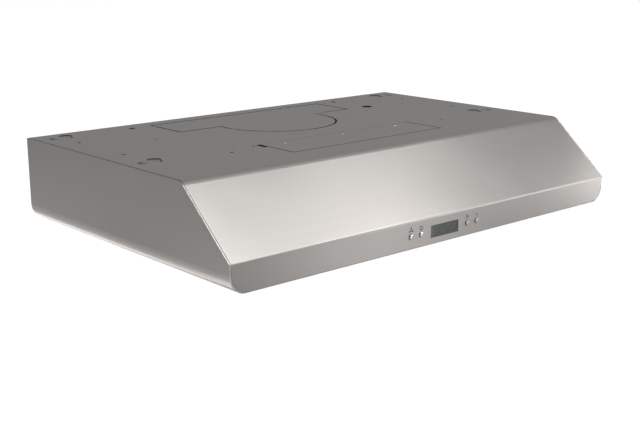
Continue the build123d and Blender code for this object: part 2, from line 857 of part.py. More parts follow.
with BuildPart() as right_inlet_plate:
    add(side_plate(blower_half, inlet_r + inlet_lip, scroll_wall + plate_rim))
    # the rolled bell mouth that leads air into the wheel
    with BuildSketch(Plane.XY.offset(axis_z)):
        with Locations(
            (blower_half + scroll_wall - inlet_lip, axis_y + inlet_r + inlet_lip)
        ):
            Circle(inlet_lip)
            Circle(inlet_lip - scroll_wall, mode=Mode.SUBTRACT)
            Rectangle(
                inlet_lip, 2 * inlet_lip, align=(Align.MAX, Align.CENTER), mode=Mode.SUBTRACT
            )
            Rectangle(
                2 * inlet_lip, inlet_lip, align=(Align.CENTER, Align.MIN), mode=Mode.SUBTRACT
            )
    revolve(axis=blower_axis)
write(right_inlet_plate.part, "inlet_plate_right")
write(mirrored(right_inlet_plate.part), "inlet_plate_left")

# ---------------------------------------------------------------- motor, shaft and wheels
motor_plate = side_plate(motor_half, motor_hole_r, -lap)
write(motor_plate, "motor_plate_right")
write(mirrored(motor_plate), "motor_plate_left")

motor_outline = [
    (0, shaft_r + running + 1),
    (0, stack_r),
    (stack_half, stack_r),
    (stack_half, bell_r),
    (bell_half - 4, bell_r),
    (bell_half, bell_r - 4),
    (bell_half, boss_r),
    (motor_half - lap, boss_r),
    (motor_half - lap, bearing_r),
    (motor_half - lap - bearing_length, bearing_r),
    (motor_half - lap - bearing_length, shaft_r + running + 1),
]
half_motor = revolved(
    [(x, axis_y + r) for x, r in motor_outline], Plane.XY.offset(axis_z), blower_axis
)

with BuildPart() as blower_motor:
    add(half_motor)
    # lugs that stand on the motor plate
    with BuildSketch(Plane.YZ.offset(stack_half)):
        with Locations((axis_y, axis_z)):
            with PolarLocations(lug_circle, lug_count, start_angle=90):
                Circle(lug_r)
    extrude(amount=motor_half - stack_half)
    mirror(about=Plane.YZ)
write(blower_motor.part, "blower_motor")

with BuildPart() as motor_bearings:
    with BuildSketch(Plane.YZ.offset(motor_half - lap - bearing_length)):
        with Locations((axis_y, axis_z)):
            Circle(bearing_r - fixed_fit)
            Circle(shaft_r + running, mode=Mode.SUBTRACT)
    extrude(amount=bearing_length)
    mirror(about=Plane.YZ)
write(motor_bearings.part, "motor_bearings")

with BuildPart() as blower_shaft:
    with BuildSketch(Plane.YZ):
        with Locations((axis_y, axis_z)):
            Circle(shaft_r)
    extrude(amount=wheel_from + wheel_hub + shaft_r, both=True)
    chamfer(blower_shaft.faces().filter_by(Plane.YZ).edges(), shaft_r / 8)
write(blower_shaft.part, "blower_shaft")


def on_wheel(radius, degrees):
    """A point of the wheel in the side view."""
    return (
        axis_y + radius * cos(radians(degrees)),
        axis_z + radius * sin(radians(degrees)),
    )


blade_middle_r = (wheel_inner_r + wheel_r) / 2
with BuildSketch() as blade:
    with BuildLine():
        ThreePointArc(
            on_wheel(wheel_inner_r, 0),
            on_wheel(blade_middle_r, blade_lead / 2 - blade_bow),
            on_wheel(wheel_r - blade_thick / 2, blade_lead),
        )
    trace(line_width=blade_thick)

with BuildPart() as right_wheel:
    # forward-curved blades between the disc and the end ring
    with BuildSketch(Plane.YZ.offset(wheel_from)):
        with Locations((axis_y, axis_z)):
            with PolarLocations(0, blade_count):
                add(blade.sketch.moved(Location((-axis_y, -axis_z, 0))))
    extrude(amount=wheel_length)
    with BuildSketch(Plane.YZ.offset(wheel_from)):
        with Locations((axis_y, axis_z)):
            Circle(wheel_r)
    extrude(amount=wheel_disc)
    with BuildSketch(Plane.YZ.offset(wheel_from + wheel_length - wheel_ring)):
        with Locations((axis_y, axis_z)):
            Circle(wheel_ring_r)
            Circle(wheel_r - wheel_ring, mode=Mode.SUBTRACT)
    extrude(amount=wheel_ring)
    with BuildSketch(Plane.YZ.offset(wheel_from)):
        with Locations((axis_y, axis_z)):
            Circle(wheel_hub_r)
    extrude(amount=wheel_hub)
    with BuildSketch(Plane.YZ.offset(wheel_from)):
        with Locations((axis_y, axis_z)):
            Circle(shaft_r + fixed_fit)
    extrude(amount=wheel_hub, mode=Mode.SUBTRACT)
write(right_wheel.part, "blower_wheel_right")
write(mirrored(right_wheel.part), "blower_wheel_left")

with BuildPart() as blower_nuts:
    with BuildSketch(Plane.XY.offset(underside - scroll_wall)):
        with Locations(studs):
            RegularPolygon(nut_r, 6)
            Circle(stud_r + thread_gap, mode=Mode.SUBTRACT)
    extrude(amount=-nut_thick)
write(blower_nuts.part, "blower_nuts")

# ---------------------------------------------------------------- controls behind the fascia
with BuildPart() as control_housing:
    with BuildSketch(Plane.XZ.offset(-fascia_back)):
        with Locations((0, control_z)):
            RectangleRounded(control_box_width, control_box_height, control_wall)
    extrude(amount=-control_box_depth)
    with BuildSketch(Plane.XZ.offset(-fascia_back)):
        with Locations((0, control_z)):
            Rectangle(
                control_box_width - 2 * control_wall, control_box_height - 2 * control_wall
            )
    extrude(amount=control_wall - control_box_depth, mode=Mode.SUBTRACT)
    # posts that the board lies on
    with BuildSketch(Plane.XZ.offset(-fascia_back - control_box_depth + control_wall)):
        with Locations((0, control_z)):
            with GridLocations(control_box_width - 8 * control_wall, 0, 2, 1):
                Circle(2 * screw_r)
            with GridLocations(control_box_width - 8 * control_wall, 0, 2, 1):
                Circle(screw_r / 2, mode=Mode.SUBTRACT)
    extrude(amount=board_post)
write(control_housing.part, "control_housing")

board_front = -depth + board_back - board_thick
board_width = control_box_width - 2 * control_wall - 2 * board_gap
board_height = control_box_height - 2 * control_wall - 2 * board_gap
with BuildPart() as control_board:
    with BuildSketch(Plane.XZ.offset(-board_front)):
        with Locations((0, control_z)):
            Rectangle(board_width, board_height)
    extrude(amount=-board_thick)
write(control_board.part, "control_board")

with BuildPart() as button_switches:
    with BuildSketch(Plane.XZ.offset(-board_front)):
        for x in button_x:
            with Locations((x, control_z)):
                Rectangle(switch_size, switch_size)
    extrude(amount=switch_body)
    with BuildSketch(Plane.XZ.offset(-board_front + switch_body)):
        for x in button_x:
            with Locations((x, control_z)):
                Circle(switch_plunger_r)
    extrude(amount=switch_reach)
write(button_switches.part, "button_switches")

flange_front = fascia_back + thread_gap
flange_back = flange_front + button_flange
plunger_front = board_front - switch_body - switch_reach
stem_back = plunger_front - button_travel - thread_gap
for name, x in zip(button_names, button_x):
    with BuildPart() as button:
        with BuildSketch(Plane.YZ.offset(x)):
            with BuildLine():
                dome = ThreePointArc(
                    (-depth - button_proud, control_z),
                    (-depth - button_proud + button_dome / 4, control_z + (button_r - button_edge) / 2),
                    (-depth - button_proud + button_dome, control_z + button_r - button_edge),
                )
                Polyline(
                    dome @ 1,
                    (-depth - button_proud + button_dome + button_edge, control_z + button_r),
                    (flange_front, control_z + button_r),
                    (flange_front, control_z + button_flange_r),
                    (flange_back, control_z + button_flange_r),
                    (flange_back, control_z + button_stem_r),
                    (stem_back, control_z + button_stem_r),
                    (stem_back, control_z),
                    dome @ 0,
                )
            make_face()
        revolve(axis=Axis((x, 0, control_z), (0, 1, 0)))
    write(button.part, name)

with BuildPart() as lcd_window:
    with BuildSketch(Plane.XZ.offset(depth)):
        with Locations((0, control_z)):
            RectangleRounded(window_width, window_height, window_gap)
    extrude(amount=-sheet - lap)
    with BuildSketch(Plane.XZ.offset(-fascia_back)):
        with Locations((0, control_z)):
            Rectangle(window_width + 2 * window_rim, window_height + 1.5 * window_rim)
    extrude(amount=-window_thick)
write(lcd_window.part, "lcd_window")

lcd_front = fascia_back + window_thick + lap
with BuildPart() as lcd_module:
    with BuildSketch(Plane.XZ.offset(-lcd_front)):
        with Locations((0, control_z)):
            Rectangle(window_width + window_rim, window_height + window_rim / 2)
    extrude(amount=lcd_front - board_front + lap)
write(lcd_module.part, "lcd_module")

# ---------------------------------------------------------------- wiring box and its parts
box_middle_x = sum(wiring_box_x) / 2
box_middle_y = sum(wiring_box_y) / 2
box_width = wiring_box_x[1] - wiring_box_x[0]
box_length = wiring_box_y[1] - wiring_box_y[0]
with BuildPart() as wiring_box:
    with BuildSketch(Plane.XY.offset(underside - wiring_box_height)):
        with Locations((box_middle_x, box_middle_y)):
            RectangleRounded(box_width, box_length, sheet_bend + sheet)
    extrude(amount=wiring_box_height)
    with BuildSketch(Plane.XY.offset(underside - sheet)):
        with Locations((box_middle_x, box_middle_y)):
            Rectangle(box_width + 2 * wiring_box_flange, box_length / 2)
    extrude(amount=sheet)
    with BuildSketch(Plane.XY.offset(underside - wiring_box_height + sheet)):
        with Locations((box_middle_x, box_middle_y)):
            RectangleRounded(box_width - 2 * sheet, box_length - 2 * sheet, sheet_bend)
    extrude(amount=wiring_box_height, mode=Mode.SUBTRACT)
write(wiring_box.part, "wiring_box")

terminal_x = wiring_box_x[1] - sheet - lap - terminal_size[0] / 2
with BuildPart() as terminal_block:
    with BuildSketch(Plane.XY.offset(underside - lap - terminal_size[2])):
        with Locations((terminal_x, box_middle_y)):
            Rectangle(terminal_size[0], terminal_size[1])
    extrude(amount=terminal_size[2])
    with BuildSketch(Plane.XY.offset(underside - lap - terminal_size[2])):
        with Locations((terminal_x, box_middle_y)):
            with GridLocations(0, terminal_size[1] / terminal_poles, 1, terminal_poles):
                Circle(screw_head_r)
    extrude(amount=screw_head, mode=Mode.SUBTRACT)
write(terminal_block.part, "terminal_block")

with BuildPart() as ground_screw:
    with BuildSketch(Plane.XY.offset(underside)):
        with Locations(ground_screw_at):
            RegularPolygon(screw_head_r, 6)
    extrude(amount=-2 * screw_head)
write(ground_screw.part, "ground_screw")

with BuildPart() as run_capacitor:
    with BuildSketch(Plane.XY.offset(tray_top)):
        with Locations(capacitor_at):
            RectangleRounded(capacitor_size[0], capacitor_size[1], capacitor_corner)
    extrude(amount=capacitor_size[2])
    fillet(run_capacitor.edges().group_by(Axis.Z)[-1], sheet_bend)
write(run_capacitor.part, "run_capacitor")
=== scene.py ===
# %% [markdown]
# # An under cabinet range hood
#
# A hood like this is a shallow box of brushed stainless sheet that hangs under a wall cabinet.
# One long sheet is folded over the top, down the slanted front and into the fascia, and two side
# panels close its ends and roll into the underside. The CAD model already holds every sheet, fold
# and hole. This lesson gives each of them a finish, adds the small pieces that a drawing leaves
# out, and lights the hood as a studio would.

# %% Load the frame
import json
import math

import bmesh
import bpy
from mathutils import Matrix, Vector


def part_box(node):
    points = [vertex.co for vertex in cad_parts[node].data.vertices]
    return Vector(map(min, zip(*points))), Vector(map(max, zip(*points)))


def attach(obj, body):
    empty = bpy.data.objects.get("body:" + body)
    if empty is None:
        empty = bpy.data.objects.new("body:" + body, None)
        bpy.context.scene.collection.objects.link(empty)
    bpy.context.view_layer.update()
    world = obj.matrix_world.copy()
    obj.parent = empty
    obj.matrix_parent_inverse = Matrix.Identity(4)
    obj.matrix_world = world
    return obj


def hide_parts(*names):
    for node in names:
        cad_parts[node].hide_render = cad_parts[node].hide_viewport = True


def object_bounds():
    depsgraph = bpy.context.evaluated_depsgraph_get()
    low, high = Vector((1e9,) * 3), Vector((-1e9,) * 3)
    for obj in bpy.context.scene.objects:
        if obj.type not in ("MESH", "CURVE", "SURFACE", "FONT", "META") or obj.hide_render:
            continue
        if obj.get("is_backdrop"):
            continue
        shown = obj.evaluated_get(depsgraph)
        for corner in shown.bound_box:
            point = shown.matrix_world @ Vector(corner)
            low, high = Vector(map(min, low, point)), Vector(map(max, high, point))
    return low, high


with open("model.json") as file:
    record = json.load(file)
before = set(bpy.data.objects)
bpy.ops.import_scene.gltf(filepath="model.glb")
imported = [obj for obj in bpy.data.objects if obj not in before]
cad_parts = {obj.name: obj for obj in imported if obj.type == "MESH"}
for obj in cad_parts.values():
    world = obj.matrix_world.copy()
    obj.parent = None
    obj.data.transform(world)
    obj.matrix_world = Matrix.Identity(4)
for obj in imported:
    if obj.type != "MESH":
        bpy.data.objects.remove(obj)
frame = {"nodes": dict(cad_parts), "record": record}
bpy.context.view_layer.update()
nodes = frame["nodes"]
slot_of = {part["node"]: part["material_slot"] for part in frame["record"]["subparts"]}

# %% [markdown]
# ## Camera
#
# The hood is seen from its front left corner and a little above, through a lens of about 60 mm.
# A camera can be placed by the way it looks: a heading from +Y towards +X, a dip below the
# horizon and a slight roll. Those give its right, up and back directions, which are the columns
# of its matrix. It takes a little more arithmetic than aiming at a point, and in return the lens
# needs no shift.

# %% Make the camera
LENS = 61.589
CAMERA_AT = Vector((-1.12468, -1.52095, 0.29199))
HEADING, DIP, ROLL = (math.radians(angle) for angle in (41.275, 14.11, -0.152))

ahead = Vector(
    (math.sin(HEADING) * math.cos(DIP), math.cos(HEADING) * math.cos(DIP), -math.sin(DIP))
)
level_right = Vector((math.cos(HEADING), -math.sin(HEADING), 0))
level_up = level_right.cross(ahead)
right = math.cos(ROLL) * level_right + math.sin(ROLL) * level_up
up = math.cos(ROLL) * level_up - math.sin(ROLL) * level_right

camera = bpy.data.objects.new("camera", bpy.data.cameras.new("camera"))
camera.data.lens = LENS
camera.matrix_world = Matrix.Translation(CAMERA_AT) @ Matrix((right, up, -ahead)).transposed().to_4x4()
bpy.context.scene.collection.objects.link(camera)
bpy.context.scene.camera = camera

# %% [markdown]
# ## Working with shader nodes
#
# A material reads best when adding a node and joining two sockets take one line each. Constant
# settings go straight on the Principled shader's own sockets, and only what changes over the
# surface is linked to it.

# %% Helpers for shader nodes
def add_node(tree, kind, **settings):
    """A node of the given kind, with its own settings."""
    node = tree.nodes.new(kind)
    for name, value in settings.items():
        setattr(node, name, value)
    return node


def feed(tree, socket, value):
    """Links a socket to an input, or sets the input to a constant."""
    if isinstance(value, bpy.types.NodeSocket):
        tree.links.new(value, socket)
    else:
        socket.default_value = value


def new_material(name, colour, **settings):
    """A material with a Principled shader, whose settings are given by socket name."""
    material = bpy.data.materials.new(name)
    material.use_nodes = True
    shader = material.node_tree.nodes["Principled BSDF"]
    shader.inputs["Base Color"].default_value = (*colour, 1)
    for socket, value in settings.items():
        shader.inputs[socket.replace("_", " ")].default_value = value
    return material, material.node_tree, shader


# %% [markdown]
# ## Studio
#
# Brushed steel shows the room more than itself, so the studio matters as much as the metal. The
# floor is a pale sweep far below the hood. It is kept out of the metal's reflections, which then
# come only from the soft boxes and from the even grey of the room. From below, its paper is
# clear, so the underside can be looked at as well.
#
# Each soft box hangs on a line from the middle of the hood. The overhead, right and front boxes
# make the broad bands in the top, the slant and the fascia. Two edge boxes to the left, one low
# and one high, put a bright line on the folded edges there. The other left and back boxes light
# the side panel and the foot from below.

# %% Floor
FLOOR_DROP = 2.4
FLOOR_HALF = 40.0

floor_mesh = bpy.data.meshes.new("floor")
corners = [(x * FLOOR_HALF, y * FLOOR_HALF, -FLOOR_DROP) for x, y in ((-1, -1), (1, -1), (1, 1), (-1, 1))]
floor_mesh.from_pydata(corners, [], [(0, 1, 2, 3)])
floor = bpy.data.objects.new("floor", floor_mesh)
bpy.context.scene.collection.objects.link(floor)
floor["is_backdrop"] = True
floor.visible_glossy = False

floor_paper, tree, shader = new_material(
    "floor_paper", (0.9, 0.9, 0.9), Roughness=0.9, Emission_Strength=0.80
)
shader.inputs["Emission Color"].default_value = (1, 1, 1, 1)
geometry = add_node(tree, "ShaderNodeNewGeometry")
from_above = add_node(tree, "ShaderNodeMath", operation="SUBTRACT")
from_above.inputs[0].default_value = 1
feed(tree, from_above.inputs[1], geometry.outputs["Backfacing"])
feed(tree, shader.inputs["Alpha"], from_above.outputs[0])
floor.data.materials.append(floor_paper)
print("floor:", FLOOR_DROP, "m below the hood's top")

# %% Room
ROOM_GREY = (0.276, 0.268, 0.266)

room = bpy.data.worlds.new("room")
room.use_nodes = True
bpy.context.scene.world = room
tree = room.node_tree
grey_room = tree.nodes["Background"]
grey_room.inputs["Color"].default_value = (*ROOM_GREY, 1)
white_wall = add_node(tree, "ShaderNodeBackground")
white_wall.inputs["Color"].default_value = (1, 1, 1, 1)
ray = add_node(tree, "ShaderNodeLightPath")
seen = add_node(tree, "ShaderNodeMixShader")
feed(tree, seen.inputs[0], ray.outputs["Is Camera Ray"])
feed(tree, seen.inputs[1], grey_room.outputs[0])
feed(tree, seen.inputs[2], white_wall.outputs[0])
feed(tree, tree.nodes["World Output"].inputs["Surface"], seen.outputs[0])

bpy.context.scene.view_settings.view_transform = "Standard"

# %% Soft boxes
HOOD_MIDDLE = Vector((0, -0.25, -0.06))
# Direction from the hood's middle, distance, side length and watts.
SOFT_BOXES = {
    "overhead": ((0.04, -0.48, 0.88), 2.2, 0.9, 28.1),
    "over_slant_left": ((0.56, -0.32, 0.77), 1.3, 0.35, 0.42),
    "over_slant_right": ((0.56, -0.56, 0.62), 1.3, 0.35, 1.20),
    "right_high": ((0.93, -0.28, 0.24), 1.3, 0.35, 0.94),
    "right_level": ((0.93, -0.34, -0.10), 1.3, 0.35, 2.7),
    "front_right": ((0.71, -0.70, 0.075), 2.2, 0.9, 2.9),
    "front_low": ((0.48, -0.83, -0.28), 1.3, 0.35, 0.26),
    "edge_low": ((-0.80, -0.52, -0.30), 2.2, 0.9, 9.0),
    "edge_high": ((-0.72, -0.12, 0.68), 2.2, 0.9, 4.0),
    "back_left": ((-0.36, 0.86, -0.38), 2.2, 0.9, 0.49),
    "left_low": ((-0.82, 0.22, -0.52), 2.2, 0.9, 8.7),
    "left_under": ((-0.43, 0.46, -0.77), 2.2, 0.9, 4.2),
    "back_low": ((-0.03, 0.91, -0.41), 2.2, 0.55, 1.35),
    "back_under": ((-0.03, 0.79, -0.62), 2.2, 0.55, 1.15),
}
WARM_WHITE = (1.0, 0.965, 0.945)
OVERHEAD_WHITE = (1.0, 0.985, 0.965)

for name, (toward, distance, size, watts) in SOFT_BOXES.items():
    light = bpy.data.lights.new(name, "AREA")
    light.shape = "SQUARE"
    light.size = size
    light.energy = watts
    light.color = OVERHEAD_WHITE if name == "overhead" else WARM_WHITE
    lamp = bpy.data.objects.new(name, light)
    lamp.location = HOOD_MIDDLE + Vector(toward).normalized() * distance
    lamp.rotation_euler = (lamp.location - HOOD_MIDDLE).to_track_quat("Z", "Y").to_euler()
    bpy.context.scene.collection.objects.link(lamp)
print("soft boxes:", len(SOFT_BOXES))

# %% [markdown]
# ## Brushed grain
#
# Sheet is brushed by belts, which leave fine parallel scratches. They spread light across their
# length, so a brushed sheet mirrors the room as soft bands. A noise stretched along the grain
# makes them: thin lines in its small octaves, and broad faint streaks in a second noise of a
# larger size. Several metals need it, so it is a node group that gives the streaks as a value and
# the fine lines as a height.

# %% Node group: brushed grain
def new_group(name, inputs, outputs):
    """A shader node group with the given sockets, and its two end nodes."""
    tree = bpy.data.node_groups.new(name, "ShaderNodeTree")
    for socket, kind in inputs:
        tree.interface.new_socket(socket, in_out="INPUT", socket_type="NodeSocket" + kind)
    for socket, kind in outputs:
        tree.interface.new_socket(socket, in_out="OUTPUT", socket_type="NodeSocket" + kind)
    return tree, add_node(tree, "NodeGroupInput"), add_node(tree, "NodeGroupOutput")


def noise(tree, vector, scale, detail=2.0):
    """The value of a noise texture over a vector."""
    texture = add_node(tree, "ShaderNodeTexNoise")
    feed(tree, texture.inputs["Vector"], vector)
    texture.inputs["Scale"].default_value = scale
    texture.inputs["Detail"].default_value = detail
    return texture.outputs[0]


def between(tree, low, high, share):
    """low where share is 0 and high where share is 1."""
    mix = add_node(tree, "ShaderNodeMix", data_type="FLOAT")
    feed(tree, mix.inputs["Factor"], share)
    feed(tree, mix.inputs["A"], low)
    feed(tree, mix.inputs["B"], high)
    return mix.outputs["Result"]


grain_group, start, end = new_group(
    "brushed_grain", [("Along", "Vector")], [("Streaks", "Float"), ("Height", "Float")]
)
fine_lines = noise(grain_group, start.outputs["Along"], 1.0, 3.0)
broad_streaks = noise(grain_group, start.outputs["Along"], 0.16)
feed(grain_group, end.inputs["Streaks"], between(grain_group, fine_lines, broad_streaks, 0.5))
feed(grain_group, end.inputs["Height"], fine_lines)
print("brushed_grain:", len(grain_group.nodes), "nodes")

# %% [markdown]
# ## Handling
#
# A sheet is rolled, stacked and wiped, and is never equally glossy all over. Soft clouds a hand
# wide, with smaller ones inside them, are enough. Every finish below takes its roughness from
# this group.

# %% Node group: handling
handling_group, start, end = new_group("handling", [("Place", "Vector")], [("Cloud", "Float")])
wide = noise(handling_group, start.outputs["Place"], 9.0)
small = noise(handling_group, start.outputs["Place"], 60.0)
feed(handling_group, end.inputs["Cloud"], between(handling_group, wide, small, 0.3))
print("handling:", len(handling_group.nodes), "nodes")

# %% [markdown]
# ## Sheared edges and painted shade
#
# Where a punch or a shear has gone through a sheet, the wall of the cut is torn and dull, and it
# is painted near black, as the shade that fills a narrow slot. A cut's wall lies just below the
# sheet's face and doesn't face the way that the sheet does. The first group compares both: the
# level is a point's height over the sheet's face, and the facing is the normal's share of the
# sheet's direction. Painted shade is also laid on the face beside a cut. There the Bevel node
# helps: it looks around a point and turns the normal near an edge, and the second group takes
# that turn for the painted shade.

# %% Node group: sheared edge and painted shade
SHEET = 0.0008
BEVEL_SAMPLES = 6


def sums(tree, operation, first, second):
    """One arithmetic step on two values."""
    step = add_node(tree, "ShaderNodeMath", operation=operation)
    feed(tree, step.inputs[0], first)
    feed(tree, step.inputs[1], second)
    return step.outputs[0]


sheared_shade_group, start, end = new_group(
    "sheared_edge_shade", [("Level", "Float"), ("Facing", "Float")], [("Edge", "Float")]
)
near = sums(sheared_shade_group, "GREATER_THAN", start.outputs["Level"], -1.1 * SHEET)
steepness = add_node(sheared_shade_group, "ShaderNodeMath", operation="ABSOLUTE")
feed(sheared_shade_group, steepness.inputs[0], start.outputs["Facing"])
steep = sums(sheared_shade_group, "LESS_THAN", steepness.outputs[0], 0.5)
feed(sheared_shade_group, end.inputs["Edge"], sums(sheared_shade_group, "MULTIPLY", near, steep))
print("sheared_edge_shade:", len(sheared_shade_group.nodes), "nodes")

# %% Node group: painted edge shade
SHADE_REACH = 0.0014
UNSHADED_TURN, SHADED_TURN = 0.995, 0.93  # cosines of the turn near an edge

edge_shade_group, start, end = new_group("painted_edge_shade", [("Facing", "Float")], [("PaintedShade", "Float")])
bevel = add_node(edge_shade_group, "ShaderNodeBevel", samples=BEVEL_SAMPLES)
bevel.inputs["Radius"].default_value = SHADE_REACH
along = add_node(edge_shade_group, "ShaderNodeVectorMath", operation="DOT_PRODUCT")
feed(edge_shade_group, along.inputs[0], bevel.outputs[0])
feed(edge_shade_group, along.inputs[1], add_node(edge_shade_group, "ShaderNodeNewGeometry").outputs["Normal"])
turned_away = add_node(edge_shade_group, "ShaderNodeMapRange")
feed(edge_shade_group, turned_away.inputs["Value"], along.outputs["Value"])
for socket, value in (("From Min", UNSHADED_TURN), ("From Max", SHADED_TURN)):
    turned_away.inputs[socket].default_value = value
steepness = add_node(edge_shade_group, "ShaderNodeMath", operation="ABSOLUTE")
feed(edge_shade_group, steepness.inputs[0], start.outputs["Facing"])
flat = sums(edge_shade_group, "GREATER_THAN", steepness.outputs[0], 0.95)
# Painted shade on the flat face beside a cut, growing with the turn of the Bevel normal.
feed(edge_shade_group, end.inputs["PaintedShade"], sums(edge_shade_group, "MULTIPLY", turned_away.outputs[0], flat))
print("painted_edge_shade:", len(edge_shade_group.nodes), "nodes")

# %% [markdown]
# ## Folded edges
#
# Where a sheet is folded back on itself the edge is round, and it carries a thin bright line
# along the whole side. The CAD model keeps the hem square, so the group turns the normals near
# its edges as a small round would, and the bump of the grain is laid over them.

# %% Node group: folded edge
fold_group, start, end = new_group("folded_edge", [("Radius", "Float")], [("Normal", "Vector")])
fold = add_node(fold_group, "ShaderNodeBevel", samples=BEVEL_SAMPLES)
feed(fold_group, fold.inputs["Radius"], start.outputs["Radius"])
feed(fold_group, end.inputs["Normal"], fold.outputs[0])
print("folded_edge:", len(fold_group.nodes), "nodes")

# %% [markdown]
# ## Moulded skin
#
# Plastic and ceramic copy the spark-eroded skin of their mould: a fine even pebble. It takes the
# hard edge off a highlight. The group gives it as a height, at a tenth of a millimetre for the
# pebbles and a slow wave for the sink marks over thick places.

# %% Node group: moulded skin
moulded_group, start, end = new_group("moulded_skin", [("Place", "Vector")], [("Height", "Float")])
pebbles = noise(moulded_group, start.outputs["Place"], 6000.0)
sink_marks = noise(moulded_group, start.outputs["Place"], 120.0)
feed(moulded_group, end.inputs["Height"], between(moulded_group, pebbles, sink_marks, 0.6))
print("moulded_skin:", len(moulded_group.nodes), "nodes")


# %% Helpers for finishes
def place_in(tree):
    """Where a point is on the hood, in metres."""
    return add_node(tree, "ShaderNodeTexCoord").outputs["Object"]


def stretched(tree, vector, scale):
    """A vector scaled differently along each axis."""
    mapping = add_node(tree, "ShaderNodeMapping")
    feed(tree, mapping.inputs["Vector"], vector)
    mapping.inputs["Scale"].default_value = scale
    return mapping.outputs[0]


def grouped(tree, group, **inputs):
    """The outputs of a node group placed in a material."""
    node = add_node(tree, "ShaderNodeGroup", node_tree=group)
    for name, value in inputs.items():
        feed(tree, node.inputs[name], value)
    return node.outputs


def tinted(tree, dark, light, share):
    """A colour between two, by a share."""
    mix = add_node(tree, "ShaderNodeMix", data_type="RGBA")
    feed(tree, mix.inputs["Factor"], share)
    for socket, colour in (("A", dark), ("B", light)):
        if isinstance(colour, tuple):
            colour = (*colour, 1)
        feed(tree, mix.inputs[socket], colour)
    return mix.outputs["Result"]


def bumped(tree, shader, height, metres):
    """Feeds a height to the shader as a bump of the given depth, and gives the bump."""
    bump = add_node(tree, "ShaderNodeBump")
    bump.inputs["Distance"].default_value = metres
    feed(tree, bump.inputs["Height"], height)
    feed(tree, shader.inputs["Normal"], bump.outputs[0])
    return bump


def handled(tree, shader, place, smooth, rough):
    """Feeds the shader a roughness that wanders between two values, and gives its clouds."""
    cloud = grouped(tree, handling_group, Place=place)["Cloud"]
    feed(tree, shader.inputs["Roughness"], between(tree, smooth, rough, cloud))
    return cloud


def split(tree, vector):
    """The three numbers of a vector."""
    parts = add_node(tree, "ShaderNodeSeparateXYZ")
    feed(tree, parts.inputs[0], vector)
    return parts.outputs


def facing(tree):
    """The three numbers of the surface's own normal."""
    return split(tree, add_node(tree, "ShaderNodeNewGeometry").outputs["True Normal"])


# %% [markdown]
# ## Stainless sheet
#
# The outside of the hood is stainless sheet with a fine satin brush. The grain runs along the
# hood's width on the wrap, and upright on the side panels, from where it carries on under the
# rolled foot. A noise that changes quickly across the grain and slowly along it gives both, so
# only the stretch differs. The wrap's cut walls are painted near black, a dull sheared edge and
# the painted shade of a narrow slot in one, and painted shade is laid beside the cuts in the top.
# On the fascia the cut walls' shade is kept to the cuts round the controls, because the wrap's
# ends are dressed smooth. The recirculation cover's edges are bent down, so its steel has no
# painted shade beside them.

# %% Stainless steel
STEEL_DARK = (0.585, 0.575, 0.560)
STEEL_LIGHT = (0.660, 0.650, 0.635)
SHEARED_STEEL_AND_SHADE = (0.035, 0.033, 0.031)
SCRATCH_LENGTH = 0.12
SCRATCH_WIDTH = 0.0005
SCRATCH_DEPTH = 0.00002
FOLD, HEM_FOLD = 0.0002, 0.0008


def brushed_metal(name, dark, light, smooth, rough, stretch, fold=FOLD):
    """Metal whose brushed grain is a noise stretched along it, with rounded edges."""
    material, tree, shader = new_material(name, light, Metallic=1.0)
    place = place_in(tree)
    grain = grouped(tree, grain_group, Along=stretched(tree, place, stretch))
    colour = tinted(tree, dark, light, grain["Streaks"])
    feed(tree, shader.inputs["Base Color"], colour)
    handled(tree, shader, place, smooth, rough)
    bump = bumped(tree, shader, grain["Height"], SCRATCH_DEPTH)
    feed(tree, bump.inputs["Normal"], grouped(tree, fold_group, Radius=fold)["Normal"])
    return material


def darken_cuts(material, axis, outward, face, colour, side_shade, reach=1.0):
    """Darkens cut walls in a sheet that faces along an axis as painted shade, and paints shade beside
    them.

    A reach below 1 m keeps it to that distance along X from the hood's middle.
    """
    tree = material.node_tree
    shader = tree.nodes["Principled BSDF"]
    height = sums(tree, "SUBTRACT", split(tree, place_in(tree))[axis], face)
    level = sums(tree, "MULTIPLY", height, outward)
    share = facing(tree)[axis]
    edge = grouped(tree, sheared_shade_group, Level=level, Facing=share)["Edge"]
    # Painted shade: the cut walls take the dark colour, and the last weight adds painted shade on the
    # face beside a cut.
    if side_shade:
        beside = sums(tree, "MULTIPLY", grouped(tree, edge_shade_group, Facing=share)["PaintedShade"], side_shade)
        edge = sums(tree, "MAXIMUM", edge, beside)
    if reach < 1:
        middle = sums(tree, "COMPARE", split(tree, place_in(tree))["X"], 0)
        middle.node.inputs[2].default_value = reach
        edge = sums(tree, "MULTIPLY", edge, middle)
    plain = shader.inputs["Base Color"].links[0].from_socket
    feed(tree, shader.inputs["Base Color"], tinted(tree, plain, colour, edge))


ACROSS, ALONG = 1 / SCRATCH_WIDTH, 1 / SCRATCH_LENGTH
steel_wide = brushed_metal(
    "stainless_wide", STEEL_DARK, STEEL_LIGHT, 0.27, 0.37, (ALONG, ACROSS, ACROSS)
)
steel_upright = brushed_metal(
    "stainless_upright", STEEL_DARK, STEEL_LIGHT, 0.27, 0.37, (ALONG, ACROSS, ALONG), HEM_FOLD
)
CONTROLS_REACH = 0.3
steel_no_side_shade = steel_wide.copy()
steel_no_side_shade.name = "stainless_no_side_shade"
fascia_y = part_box("hood_wrap")[0][1]
# Painted shade on the cut walls, and beside the cuts on the wrap's top.
darken_cuts(steel_wide, "Z", 1, 0, SHEARED_STEEL_AND_SHADE, 0.9)
darken_cuts(steel_no_side_shade, "Z", 1, 0, SHEARED_STEEL_AND_SHADE, 0)
darken_cuts(steel_wide, "Y", -1, fascia_y, SHEARED_STEEL_AND_SHADE, 0, CONTROLS_REACH)
print("stainless:", ", ".join(m.name for m in (steel_wide, steel_upright, steel_no_side_shade)))

